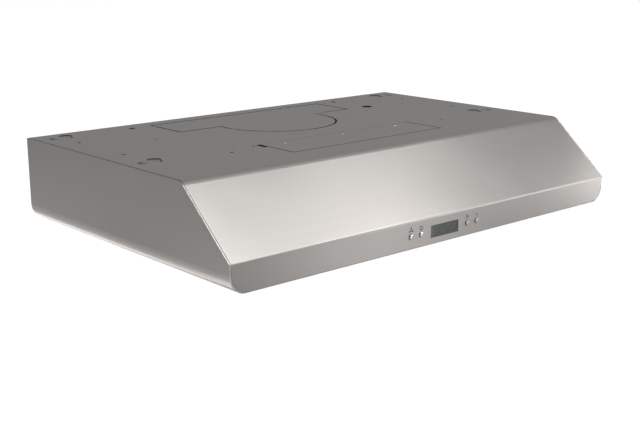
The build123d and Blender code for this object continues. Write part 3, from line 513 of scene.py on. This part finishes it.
# %% [markdown]
# ## Galvanised sheet
#
# The back panel and the blower aren't seen in use and are made from zinc coated sheet. The
# coating freezes in crystals a centimetre wide, each with its own tilt and so its own grey. A
# Voronoi texture gives one random value per cell, which serves colour and roughness alike.

# %% Galvanised steel
SPANGLE_SIZE = 0.009

galvanised, tree, shader = new_material("galvanised", (0.55, 0.57, 0.59), Metallic=1.0)
place = place_in(tree)
crystals = add_node(tree, "ShaderNodeTexVoronoi")
crystals.inputs["Scale"].default_value = 1 / SPANGLE_SIZE
feed(tree, crystals.inputs["Vector"], place)
crystal = split(tree, crystals.outputs["Color"])[0]
feed(tree, shader.inputs["Base Color"], tinted(tree, (0.44, 0.46, 0.48), (0.60, 0.62, 0.64), crystal))
cloud = grouped(tree, handling_group, Place=place)["Cloud"]
feed(tree, shader.inputs["Roughness"], between(tree, 0.34, 0.52, between(tree, crystal, cloud, 0.4)))
bumped(tree, shader, crystal, 0.00002)
# Painted shade: the cut walls go near black, and a band beside them darkens.
darken_cuts(galvanised, "Y", 1, 0, (0.06, 0.06, 0.06), 0.6)
print("galvanised: crystals of", SPANGLE_SIZE * 1000, "mm")

# %% [markdown]
# ## Small metal pieces
#
# Screws, the shaft and the nuts are plated and bright, the cover's screws are dull zinc painted
# near white, which stands for their highlight, the lamp trims are polished, and the four buttons
# have metal caps, the left pair painted brighter as a painted reflection and the right pair satin.
# They differ in colour
# and roughness only, so one function makes them, with the handling clouds for the roughness and
# a little of the moulded pebble for the skin that plating leaves. A button is a black moulded
# plunger, which also stands as the painted shade in the gap round its cap, and its cap ends a
# little behind the face.

# %% Plated and polished metals
def plated(name, dark, light, smooth, rough, skin=0.000002):
    """Smooth metal with clouds in its colour and roughness and a faint skin."""
    material, tree, shader = new_material(name, light, Metallic=1.0)
    place = place_in(tree)
    cloud = handled(tree, shader, place, smooth, rough)
    feed(tree, shader.inputs["Base Color"], tinted(tree, dark, light, cloud))
    bumped(tree, shader, grouped(tree, moulded_group, Place=place)["Height"], skin)
    return material


screw_steel = plated("screw_steel", (0.74, 0.74, 0.73), (0.84, 0.84, 0.83), 0.16, 0.30)
# Painted highlight: the cover's screws are dull zinc painted near white.
zinc_painted_highlight = plated("zinc_painted_highlight", (0.92, 0.92, 0.91), (0.98, 0.98, 0.97), 0.70, 0.85)
chrome_trim = plated("chrome_trim", (0.80, 0.80, 0.80), (0.88, 0.88, 0.88), 0.05, 0.14, 0.000001)
# Painted highlight: the left pair's caps are a brighter copy of the satin cap.
button_painted_highlight = plated("button_painted_highlight", (0.94, 0.93, 0.92), (0.98, 0.97, 0.96), 0.20, 0.28)
button_satin = plated("button_satin", (0.58, 0.57, 0.56), (0.64, 0.63, 0.62), 0.28, 0.34)
bronze = plated("bronze", (0.50, 0.33, 0.15), (0.66, 0.46, 0.23), 0.35, 0.50, 0.00001)
ground_green = plated("ground_green", (0.05, 0.30, 0.11), (0.09, 0.40, 0.15), 0.28, 0.40)
mirror_coat = plated("reflector_coat", (0.86, 0.86, 0.85), (0.92, 0.92, 0.91), 0.06, 0.12)
sealing_foil = plated("sealing_foil", (0.50, 0.49, 0.48), (0.56, 0.55, 0.54), 0.24, 0.34, 0.00001)
aluminium_frame = brushed_metal(
    "aluminium_frame", (0.64, 0.65, 0.66), (0.76, 0.77, 0.78), 0.30, 0.42, (ALONG, ACROSS, ACROSS)
)
metals = (
    screw_steel, zinc_painted_highlight, chrome_trim, button_painted_highlight, button_satin, bronze, ground_green,
    mirror_coat, sealing_foil, aluminium_frame,
)
print("metals:", ", ".join(metal.name for metal in metals))

# %% [markdown]
# ## Moulded pieces
#
# The latches, the control housing, the terminal block and the capacitor are moulded plastic, and
# the lamp sockets are ceramic. They share the moulded skin. What sets them apart is colour and
# how glossy the mould was.

# %% Plastics and ceramic
def moulded(name, dark, light, smooth, rough, skin=0.00002):
    """A moulded material with a pebbled skin and slightly uneven colour."""
    material, tree, shader = new_material(name, light)
    place = place_in(tree)
    cloud = handled(tree, shader, place, smooth, rough)
    feed(tree, shader.inputs["Base Color"], tinted(tree, dark, light, cloud))
    bumped(tree, shader, grouped(tree, moulded_group, Place=place)["Height"], skin)
    return material


black_plastic = moulded("black_plastic", (0.012, 0.012, 0.013), (0.022, 0.022, 0.023), 0.42, 0.58)
terminal_white = moulded("terminal_white", (0.74, 0.73, 0.68), (0.80, 0.79, 0.75), 0.38, 0.50)
capacitor_grey = moulded("capacitor_grey", (0.40, 0.42, 0.44), (0.48, 0.50, 0.52), 0.35, 0.50)
ceramic = moulded("ceramic", (0.76, 0.73, 0.66), (0.84, 0.82, 0.76), 0.30, 0.55, 0.00005)
PLUNGER_BLACK_AND_SHADE = (0.012, 0.012, 0.012)
CAP = 0.0009


def capped_and_shaded(material, edge):
    """Keeps the metal to what lies in front of a plane, and makes the rest black plastic, which is also
    the painted shade of the gap round the cap.
    """
    tree = material.node_tree
    shader = tree.nodes["Principled BSDF"]
    cap = sums(tree, "LESS_THAN", split(tree, place_in(tree))["Y"], edge)
    plain = shader.inputs["Base Color"].links[0].from_socket
    feed(tree, shader.inputs["Base Color"], tinted(tree, PLUNGER_BLACK_AND_SHADE, plain, cap))
    feed(tree, shader.inputs["Metallic"], cap)


# Painted shade: behind the cap the button is black, a plunger and the gap's shade in one.
for finish in (button_painted_highlight, button_satin):
    capped_and_shaded(finish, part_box("button_fan")[0][1] + CAP)

display = moulded("display", (0.050, 0.060, 0.047), (0.056, 0.066, 0.053), 0.30, 0.40, 0.000001)
icon_ink = moulded("icon_ink", (0.010, 0.010, 0.011), (0.016, 0.016, 0.017), 0.60, 0.75)
mouldings = (black_plastic, terminal_white, capacitor_grey, ceramic, display, icon_ink)
print("moulded:", ", ".join(finish.name for finish in mouldings))

# %% [markdown]
# ## Painted motor and control board
#
# The motor's stack of steel plates shows as fine rings under its dark paint: a wave along the
# shaft. The board has green solder resist with copper tracks beneath, which show as slightly
# lighter lines with square corners. A brick texture with long thin bricks draws those.

# %% Motor paint
PLATE_PITCH = 0.0013

motor_steel, tree, shader = new_material("motor_steel", (0.05, 0.052, 0.055), Metallic=0.35)
place = place_in(tree)
plates = add_node(tree, "ShaderNodeTexWave", wave_type="BANDS", bands_direction="X")
plates.inputs["Scale"].default_value = math.pi / (10 * PLATE_PITCH)
feed(tree, plates.inputs["Vector"], place)
cloud = handled(tree, shader, place, 0.35, 0.55)
feed(tree, shader.inputs["Base Color"], tinted(tree, (0.035, 0.037, 0.040), (0.060, 0.062, 0.066), cloud))
bumped(tree, shader, plates.outputs["Fac"], 0.0001)
print("motor: plates every", PLATE_PITCH * 1000, "mm")

# %% Control board
TRACK_PITCH = 0.0016

board_green, tree, shader = new_material("board_green", (0.02, 0.13, 0.05), Coat_Weight=0.5)
place = place_in(tree)
parts = split(tree, place)
flat = add_node(tree, "ShaderNodeCombineXYZ")
feed(tree, flat.inputs[0], parts["X"])
feed(tree, flat.inputs[1], parts["Z"])
tracks = add_node(tree, "ShaderNodeTexBrick")
tracks.inputs["Scale"].default_value = 0.5 / TRACK_PITCH
tracks.inputs["Mortar Size"].default_value = 0.04
tracks.inputs["Brick Width"].default_value = 3.0
feed(tree, tracks.inputs["Vector"], flat.outputs[0])
resist = tinted(tree, (0.012, 0.085, 0.032), (0.03, 0.16, 0.07), tracks.outputs["Fac"])
feed(tree, shader.inputs["Base Color"], resist)
bumped(tree, shader, tracks.outputs["Fac"], 0.00003)
handled(tree, shader, place, 0.25, 0.40)
print("board: tracks every", TRACK_PITCH * 1000, "mm")

# %% [markdown]
# ## Glass
#
# The display's window is clear acrylic with a hard coat, and the lamps' front glasses are pressed.
# Both are Principled shaders with full transmission. Wiping and pressing show in the roughness
# and in a very small bump.

# %% Clear window and lamp glass
def clear(name, tint, ior, smooth, rough, wave):
    """Clear material with a slightly wavy, unevenly wiped surface."""
    material, tree, shader = new_material(name, tint, IOR=ior, Transmission_Weight=1.0)
    place = place_in(tree)
    handled(tree, shader, place, smooth, rough)
    bumped(tree, shader, noise(tree, place, 400.0), wave)
    return material


clear_window = clear("clear_window", (0.80, 0.83, 0.80), 1.49, 0.01, 0.04, 0.000001)
lamp_glass = clear("lamp_glass", (0.95, 0.96, 0.95), 1.5, 0.02, 0.08, 0.00002)
print("clear:", clear_window.name, "and", lamp_glass.name)

# %% [markdown]
# ## Expanded mesh
#
# A grease filter is a stack of expanded aluminium: sheet slit and pulled until each slit opens
# into a diamond. Two families of slanting lines make the diamonds, and the strands are where a
# point is near a line of either family. The group draws one layer. The material has two layers,
# the lower one shifted and painted darker as in shade, so that every diamond shows strands
# crossing behind it, and the holes between them are painted near black as the shade in the pad.

# %% Node group: expanded layer
DIAMOND_LONG = 0.0060
DIAMOND_SHORT = 0.0036
STRAND = 0.12  # half a strand's width, as a share of a diamond
STRAND_RISE = 0.3

layer_group, start, end = new_group(
    "expanded_layer", [("Place", "Vector")], [("Strand", "Float"), ("Height", "Float")]
)
parts = split(layer_group, start.outputs["Place"])
long_way = sums(layer_group, "DIVIDE", parts["X"], DIAMOND_LONG)
short_way = sums(layer_group, "DIVIDE", parts["Y"], DIAMOND_SHORT)
rising = sums(layer_group, "PINGPONG", sums(layer_group, "ADD", long_way, short_way), 0.5)
falling = sums(layer_group, "PINGPONG", sums(layer_group, "SUBTRACT", long_way, short_way), 0.5)
nearest = sums(layer_group, "MINIMUM", rising, falling)
feed(layer_group, end.inputs["Strand"], sums(layer_group, "LESS_THAN", nearest, STRAND))
sunk = sums(layer_group, "MINIMUM", nearest, STRAND_RISE)
feed(layer_group, end.inputs["Height"], sums(layer_group, "SUBTRACT", STRAND_RISE, sunk))
print("expanded_layer:", len(layer_group.nodes), "nodes")

# %% Expanded aluminium
aluminium_mesh, tree, shader = new_material("aluminium_mesh", (0.72, 0.73, 0.74), Metallic=1.0)
place = place_in(tree)
lower_place = add_node(tree, "ShaderNodeMapping")
lower_place.inputs["Location"].default_value = (0.31 * DIAMOND_LONG, 0.17 * DIAMOND_SHORT, 0)
feed(tree, lower_place.inputs["Vector"], place)
upper = grouped(tree, layer_group, Place=place)
lower = grouped(tree, layer_group, Place=lower_place.outputs[0])
# Painted shade: the lower strands are darker and the holes between strands near black.
shaded_lower_layer = tinted(tree, (0.05, 0.05, 0.05), (0.30, 0.31, 0.32), lower["Strand"])
feed(tree, shader.inputs["Base Color"], tinted(tree, shaded_lower_layer, (0.74, 0.75, 0.76), upper["Strand"]))
handled(tree, shader, place, 0.28, 0.42)
below = sums(tree, "MULTIPLY", lower["Height"], 0.4)
bumped(tree, shader, sums(tree, "ADD", upper["Height"], below), 0.001)
print("mesh:", DIAMOND_LONG * 1000, "by", DIAMOND_SHORT * 1000, "mm diamonds")

# %% [markdown]
# ## Dress the CAD nodes
#
# The record names a finish for every node. The stainless sheets divide by their grain: upright on
# the side panels and from front to back on the divider, and along the width on the rest. The
# cover has the steel without painted shade beside its cuts, the left pair of buttons the caps
# painted bright as a highlight, and the right pair the satin caps.

# %% Dress the CAD nodes
FINISHES = {
    "stainless": steel_wide, "galvanised": galvanised, "screw_steel": screw_steel,
    "button_metal": button_painted_highlight, "aluminium_mesh": aluminium_mesh,
    "aluminium_frame": aluminium_frame, "black_plastic": black_plastic,
    "board_green": board_green, "display": display, "clear_window": clear_window,
    "lamp_glass": lamp_glass, "ceramic": ceramic, "chrome_trim": chrome_trim,
    "motor_steel": motor_steel, "bronze": bronze, "capacitor_grey": capacitor_grey,
    "terminal_white": terminal_white, "ground_green": ground_green,
}
OTHER_FINISH = {
    "recirculation_cover": steel_no_side_shade,
    "left_side_panel": steel_upright, "right_side_panel": steel_upright,
    "filter_divider": steel_upright, "button_timer": button_satin, "button_select": button_satin,
}

for name, node in nodes.items():
    finish = OTHER_FINISH.get(name, FINISHES[slot_of[name]])
    for slot in node.material_slots:
        slot.material = finish
finishes_used = {*FINISHES.values(), *OTHER_FINISH.values()}
print("dressed:", len(nodes), "nodes in", len(finishes_used), "finishes")

# %% [markdown]
# ## Icons on the fascia
#
# Four small icons are printed above the buttons: a fan for the speed, a lamp for the light, a
# clock for the timer and an arrow for the choice. They are flat shapes a twentieth of a
# millimetre in front of the steel, made from discs, rings and bars. Every shape is a strip or a
# fan of faces in the plane of the fascia, so one mesh holds an icon.

# %% Drawing flat shapes
INK = 0.00005
ICON_RISE = 0.0094


def arc_points(centre, radius, start, sweep, steps):
    """Points along an arc, from the start angle through the sweep, both in degrees."""
    angles = [math.radians(start + sweep * i / steps) for i in range(steps + 1)]
    return [(centre[0] + radius * math.cos(a), centre[1] + radius * math.sin(a)) for a in angles]


def add_patch(mesh, outline):
    """A flat face from (across, up) points, which faces the front."""
    face = mesh.faces.new([mesh.verts.new((x, 0, z)) for x, z in outline])
    face.normal_update()
    if face.normal.y > 0:
        face.normal_flip()


def add_disc(mesh, centre, radius):
    add_patch(mesh, arc_points(centre, radius, 0, 345, 23))


def add_band(mesh, inner, outer):
    """A strip of faces between two lines of as many points."""
    for i in range(len(inner) - 1):
        add_patch(mesh, (inner[i], outer[i], outer[i + 1], inner[i + 1]))


def add_ring(mesh, centre, radius, width, start=0, sweep=360):
    inner = arc_points(centre, radius - width / 2, start, sweep, 32)
    add_band(mesh, inner, arc_points(centre, radius + width / 2, start, sweep, 32))


def add_bar(mesh, first, second, width):
    along = Vector((second[0] - first[0], second[1] - first[1])).normalized() * width / 2
    side = (-along.y, along.x)
    add_band(
        mesh,
        [(p[0] + side[0], p[1] + side[1]) for p in (first, second)],
        [(p[0] - side[0], p[1] - side[1]) for p in (first, second)],
    )


# %% The four icons
def draw_fan(mesh):
    for turn in (90, 210, 330):
        add_disc(mesh, arc_points((0, 0), 0.0027, turn, 0, 1)[0], 0.0014)
    add_disc(mesh, (0, 0), 0.0006)


def draw_lamp(mesh):
    add_ring(mesh, (0.0004, 0), 0.0023, 0.0010, -90, 180)
    add_bar(mesh, (-0.0025, -0.0028), (-0.0025, 0.0028), 0.0010)
    for z in (-0.0023, 0.0023):
        add_bar(mesh, (-0.0025, z), (0.0004, z), 0.0010)


def draw_clock(mesh):
    add_ring(mesh, (0, 0), 0.0024, 0.0009)
    add_bar(mesh, (0, 0), (0, 0.0015), 0.0006)
    add_bar(mesh, (0, 0), (0.0011, 0), 0.0006)


def draw_arrow(mesh):
    add_patch(mesh, [(-0.0017, 0), (0.0017, 0), (0, 0.0023)])
    add_bar(mesh, (0, 0), (0, -0.0021), 0.0010)


ICONS = {"fan": draw_fan, "light": draw_lamp, "timer": draw_clock, "select": draw_arrow}


def finished_mesh(name, mesh):
    """A mesh datablock made from a bmesh, which is then freed."""
    data = bpy.data.meshes.new(name)
    mesh.to_mesh(data)
    mesh.free()
    return data


def add_piece(name, data, finish, body="hood", at=(0, 0, 0)):
    """A piece of the hood with its finish, which rides on a body."""
    piece = bpy.data.objects.new(name, data)
    piece.location = at
    piece.data.materials.clear()
    piece.data.materials.append(finish)
    bpy.context.scene.collection.objects.link(piece)
    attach(piece, body)
    return piece


for label, draw in ICONS.items():
    button_low, button_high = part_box("button_" + label)
    mesh = bmesh.new()
    draw(mesh)
    x, z = (button_low[0] + button_high[0]) / 2, (button_low[2] + button_high[2]) / 2
    data = finished_mesh("icon_" + label, mesh)
    add_piece("icon_" + label, data, icon_ink, at=(x, fascia_y - INK, z + ICON_RISE))
print("icons:", ", ".join(ICONS))

# %% [markdown]
# ## Screws
#
# The CAD screws are plain heads on plain shanks. Here they get what a screwdriver needs, a cross
# recess, and the thread's ridges. A screw is turned: its outline is a list of radius and height
# points, swept round Z. The recess is then cut out with two tapered wedges that stand crosswise,
# as the header's punch does it.

# %% Turned shapes
def add_circle(mesh, radius, height, steps, shift=0):
    """Vertices evenly round Z, turned by a share of a step."""
    angles = [2 * math.pi * (i + shift) / steps for i in range(steps)]
    return [mesh.verts.new((radius * math.cos(a), radius * math.sin(a), height)) for a in angles]


def turned(profile, steps=32):
    """A closed mesh swept round Z from (radius, height) points that begin and end on the axis."""
    mesh = bmesh.new()
    rings = [add_circle(mesh, radius, height, steps) for radius, height in profile[1:-1]]
    for lower, upper in zip(rings, rings[1:]):
        for i in range(steps):
            j = (i + 1) % steps
            mesh.faces.new((lower[i], lower[j], upper[j], upper[i]))
    for ring, (_, height) in ((rings[0], profile[0]), (rings[-1], profile[-1])):
        tip = mesh.verts.new((0, 0, height))
        for i in range(steps):
            mesh.faces.new((ring[i], ring[(i + 1) % steps], tip))
    bmesh.ops.recalc_face_normals(mesh, faces=mesh.faces)
    return mesh


def smoothed(mesh, degrees=35):
    """Smooth shading, with edges sharper than an angle kept crisp."""
    for face in mesh.faces:
        face.smooth = True
    for edge in mesh.edges:
        edge.smooth = edge.calc_face_angle(0) < math.radians(degrees)
    return mesh


# %% A cross-head screw
def recess(reach, depth, width):
    """Two tapered wedges that stand crosswise, point down, with their top just over z = 0."""
    mesh = bmesh.new()
    for turn in (0, 90):
        wedge = bmesh.ops.create_cube(mesh, size=1)["verts"]
        for vert in wedge:
            taper = 1 if vert.co.z > 0 else 0.35
            x, y, z = vert.co
            vert.co = (x * 2 * reach * taper, y * width * taper, depth * (z - 0.4))
        bmesh.ops.rotate(mesh, verts=wedge, matrix=Matrix.Rotation(math.radians(turn), 3, "Z"))
    return mesh


THREAD_PITCH = 0.0012
HEAD_RINGS = (0.4, 0.6, 0.75, 0.88, 1)


def cross_screw(name, head_r, head, shank_r, length, dome):
    """The mesh of a screw whose head's top is at z = 0 and whose tip points down."""
    profile = [(0, 0)]
    profile += [(share * head_r, -dome * share ** 4) for share in HEAD_RINGS]
    profile.append((0.98 * head_r, -head))
    turns = int((length - head) / THREAD_PITCH)
    core_r = 0.8 * shank_r
    for i in range(turns):
        z = -head - i * THREAD_PITCH
        for radius, share in ((core_r, 0.1), (shank_r, 0.5), (core_r, 0.9)):
            profile.append((radius, z - share * THREAD_PITCH))
    profile.append((0, -length))
    body = bpy.data.objects.new("blank", finished_mesh("blank", turned(profile)))
    wedges = recess(0.45 * head_r, 1.6 * head, 0.20 * head_r)
    punch = bpy.data.objects.new("punch", finished_mesh("punch", wedges))
    for part in (body, punch):
        bpy.context.scene.collection.objects.link(part)
    cut = body.modifiers.new("recess", "BOOLEAN")
    cut.object = punch
    cut.use_self = True
    bpy.context.view_layer.update()
    data = bpy.data.meshes.new_from_object(body.evaluated_get(bpy.context.evaluated_depsgraph_get()))
    data.name = name
    for part in (body, punch):
        bpy.data.objects.remove(part)
    return data


def copies(name, data, places, turn):
    """One mesh with a copy of a mesh, turned about X, at every place."""
    mesh = bmesh.new()
    for place in places:
        first = len(mesh.verts)
        mesh.from_mesh(data)
        mesh.verts.ensure_lookup_table()
        moved = Matrix.Translation(place) @ Matrix.Rotation(math.radians(turn), 4, "X")
        bmesh.ops.transform(mesh, matrix=moved, verts=mesh.verts[first:])
    return finished_mesh(name, smoothed(mesh))


def in_rows(low, high, inset, columns, rows, z):
    """Places spaced evenly over a box, inset from its edges."""
    places = []
    for i in range(columns):
        for j in range(rows):
            across = i / (columns - 1)
            deep = j / (rows - 1) if rows > 1 else 0.5
            x = low[0] + inset + across * (high[0] - low[0] - 2 * inset)
            places.append((x, low[1] + inset + deep * (high[1] - low[1] - 2 * inset), z))
    return places


# %% Set the screws
SHANK_R = 0.0018
COVER_HEAD_R, COVER_DOME = 0.0032, 0.9 * SHEET
TRAY_HEAD_R, TRAY_HEAD, TRAY_DOME = 0.0036, 0.0018, 0.0007

low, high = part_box("cover_screws")
screw = cross_screw("cover_screw", COVER_HEAD_R, SHEET, SHANK_R, high[2] - low[2], COVER_DOME)
cover_places = in_rows(low, high, COVER_HEAD_R, 3, 1, high[2])
data = copies("cover_cross_screws", screw, cover_places, 0)
piece = add_piece("cover_cross_screws", data, zinc_painted_highlight)
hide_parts("cover_screws")

low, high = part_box("tray_screws")
screw = cross_screw("tray_screw", TRAY_HEAD_R, TRAY_HEAD, SHANK_R, high[2] - low[2], TRAY_DOME)
tray_places = in_rows(low, high, TRAY_HEAD_R, 2, 2, low[2])
data = copies("tray_cross_screws", screw, tray_places, 180)
piece = add_piece("tray_cross_screws", data, screw_steel)
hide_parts("tray_screws")
print("screws:", len(cover_places), "in the cover and", len(tray_places), "in the tray")

# %% [markdown]
# ## Keyhole seals
#
# The hood hangs on four screws that come down into its keyholes. Until then, a patch of foil tape
# under each keyhole keeps the plenum's air from leaking into the cabinet, and the screw goes
# through it. The patch lies one sheet's thickness deep, so it mirrors the room as the top does,
# and only the keyhole's far wall stays dark.

# %% Keyhole seals
SEAL_THICK = 0.0001
SEAL_HALF = (0.013, 0.018)
KEYHOLE_X = 0.328
KEYHOLE_Y = (-0.029, -0.275)

mesh = bmesh.new()
for x in (-KEYHOLE_X, KEYHOLE_X):
    for y in KEYHOLE_Y:
        patch = bmesh.ops.create_cube(mesh, size=2)["verts"]
        for vert in patch:
            flat = (x + vert.co.x * SEAL_HALF[0], y + vert.co.y * SEAL_HALF[1])
            vert.co = (*flat, -SHEET - SEAL_THICK * (1.2 - vert.co.z))
add_piece("keyhole_seals", finished_mesh("keyhole_seals", mesh), sealing_foil)
print("keyhole seals:", 2 * len(KEYHOLE_Y))

# %% [markdown]
# ## Pad ends
#
# Each filter's pleated pad is cut away round its latch, so its pleats end in open triangles
# there. A strip of aluminium stands behind the latch plate and folds back over the pad's top, and
# it rides on the filter as the pad does. Its outline is drawn from the side and drawn out along X.

# %% Pad ends
PLATE_REACH = 0.0325
STRIP_HALF = 0.0321
STRIP_THICK = 0.0004
STRIP_LIP = 0.004
STRIP_FOOT, STRIP_TOP = 0.0003, 0.0005  # from the frame's own foot and top
SIDES = ("right", "left")


def drawn_out(outline, half):
    """A closed bar whose outline of (y, z) points runs along X."""
    mesh = bmesh.new()
    ends = [[mesh.verts.new((x, y, z)) for y, z in outline] for x in (-half, half)]
    for end in ends:
        mesh.faces.new(end)
    for i in range(len(outline)):
        j = (i + 1) % len(outline)
        mesh.faces.new((ends[0][i], ends[0][j], ends[1][j], ends[1][i]))
    bmesh.ops.recalc_face_normals(mesh, faces=mesh.faces)
    return mesh


for side in SIDES:
    low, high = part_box("filter_frame_" + side)
    top, back = high[2] - low[2] - STRIP_TOP, STRIP_THICK / 2
    outline = [
        (-back, STRIP_FOOT), (back, STRIP_FOOT), (back, top - STRIP_THICK),
        (STRIP_LIP, top - STRIP_THICK), (STRIP_LIP, top), (-back, top),
    ]
    at = ((low[0] + high[0]) / 2, low[1] + PLATE_REACH, low[2])
    data = finished_mesh("pad_end_" + side, drawn_out(outline, STRIP_HALF))
    add_piece("pad_end_" + side, data, aluminium_frame, "filter_" + side, at)
print("pad ends:", len(SIDES))

# %% [markdown]
# ## Halogen lamps
#
# Seen from below, a halogen lamp is a facetted mirror behind a clear front glass. The mirror is a
# bowl of rings of small flat panels, each ring turned by half a panel, which is what makes it
# sparkle. Behind it stands the ceramic base. The CAD lamp gives the size and place, and these
# three pieces stand for it.

# %% Facetted reflector
FACETS = 28  # round a ring
RINGS = 8


def reflector_bowl(mouth_r, neck_r, depth, wall, rings=RINGS):
    """A bowl of facets that opens down at z = 0 and is closed outside by a plain wall."""
    mesh = bmesh.new()
    shape = []
    for i in range(rings + 1):
        share = i / rings
        shape.append((neck_r + (mouth_r - neck_r) * math.sqrt(1 - share), depth * share))
    outside = [(radius + wall, height + wall / 2) for radius, height in reversed(shape)]
    layers = []
    for i, (radius, height) in enumerate(shape + outside):
        shift = 0.5 * i if i <= rings else 0
        layers.append(add_circle(mesh, radius, height, FACETS, shift))
    for i, (lower, upper) in enumerate(zip(layers, layers[1:] + layers[:1])):
        for j in range(FACETS):
            k = (j + 1) % FACETS
            mesh.faces.new((lower[j], lower[k], upper[j]))
            mesh.faces.new((lower[k], upper[k], upper[j]))
    bmesh.ops.recalc_face_normals(mesh, faces=mesh.faces)
    return mesh


# %% Front glass and base
RIM = 0.004
WALL = 0.0006
CUP = 0.55  # share of the lamp's height
COLLAR, NECK, STEM = 0.40, 0.36, 0.30  # shares of its radius

for side in SIDES:
    low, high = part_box("lamp_bulb_" + side)
    middle = (Vector(low) + Vector(high)) / 2
    radius = (high[0] - low[0]) / 2
    at = (middle.x, middle.y, low[2])
    height = high[2] - low[2]
    cup = CUP * height
    outline = [(0, 0), (0.9 * radius, 0.0004), (radius, 0.0012), (radius, RIM), (0, RIM)]
    data = finished_mesh("lamp_front", smoothed(turned(outline, 48)))
    piece = add_piece("lamp_front_" + side, data, lamp_glass, at=at)
    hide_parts("lamp_bulb_" + side)

    bowl = reflector_bowl(radius - 2 * WALL, NECK * radius, cup - RIM, WALL)
    data = finished_mesh("lamp_reflector", bowl)
    at = (middle.x, middle.y, low[2] + RIM)
    add_piece("lamp_reflector_" + side, data, mirror_coat, at=at)

    end = height - cup - 0.007
    base = turned(
        [(0, 0), (COLLAR * radius, 0), (COLLAR * radius, 0.003), (NECK * radius, 0.005),
         (NECK * radius, end - 0.001), (STEM * radius, end), (0, end)]
    )
    data = finished_mesh("lamp_base", smoothed(base))
    at = (middle.x, middle.y, low[2] + cup)
    add_piece("lamp_base_" + side, data, ceramic, at=at)
print("lamps:", len(SIDES), "with", RINGS * FACETS, "facets each")

# %% Finish
bpy.context.view_layer.update()
low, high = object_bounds()
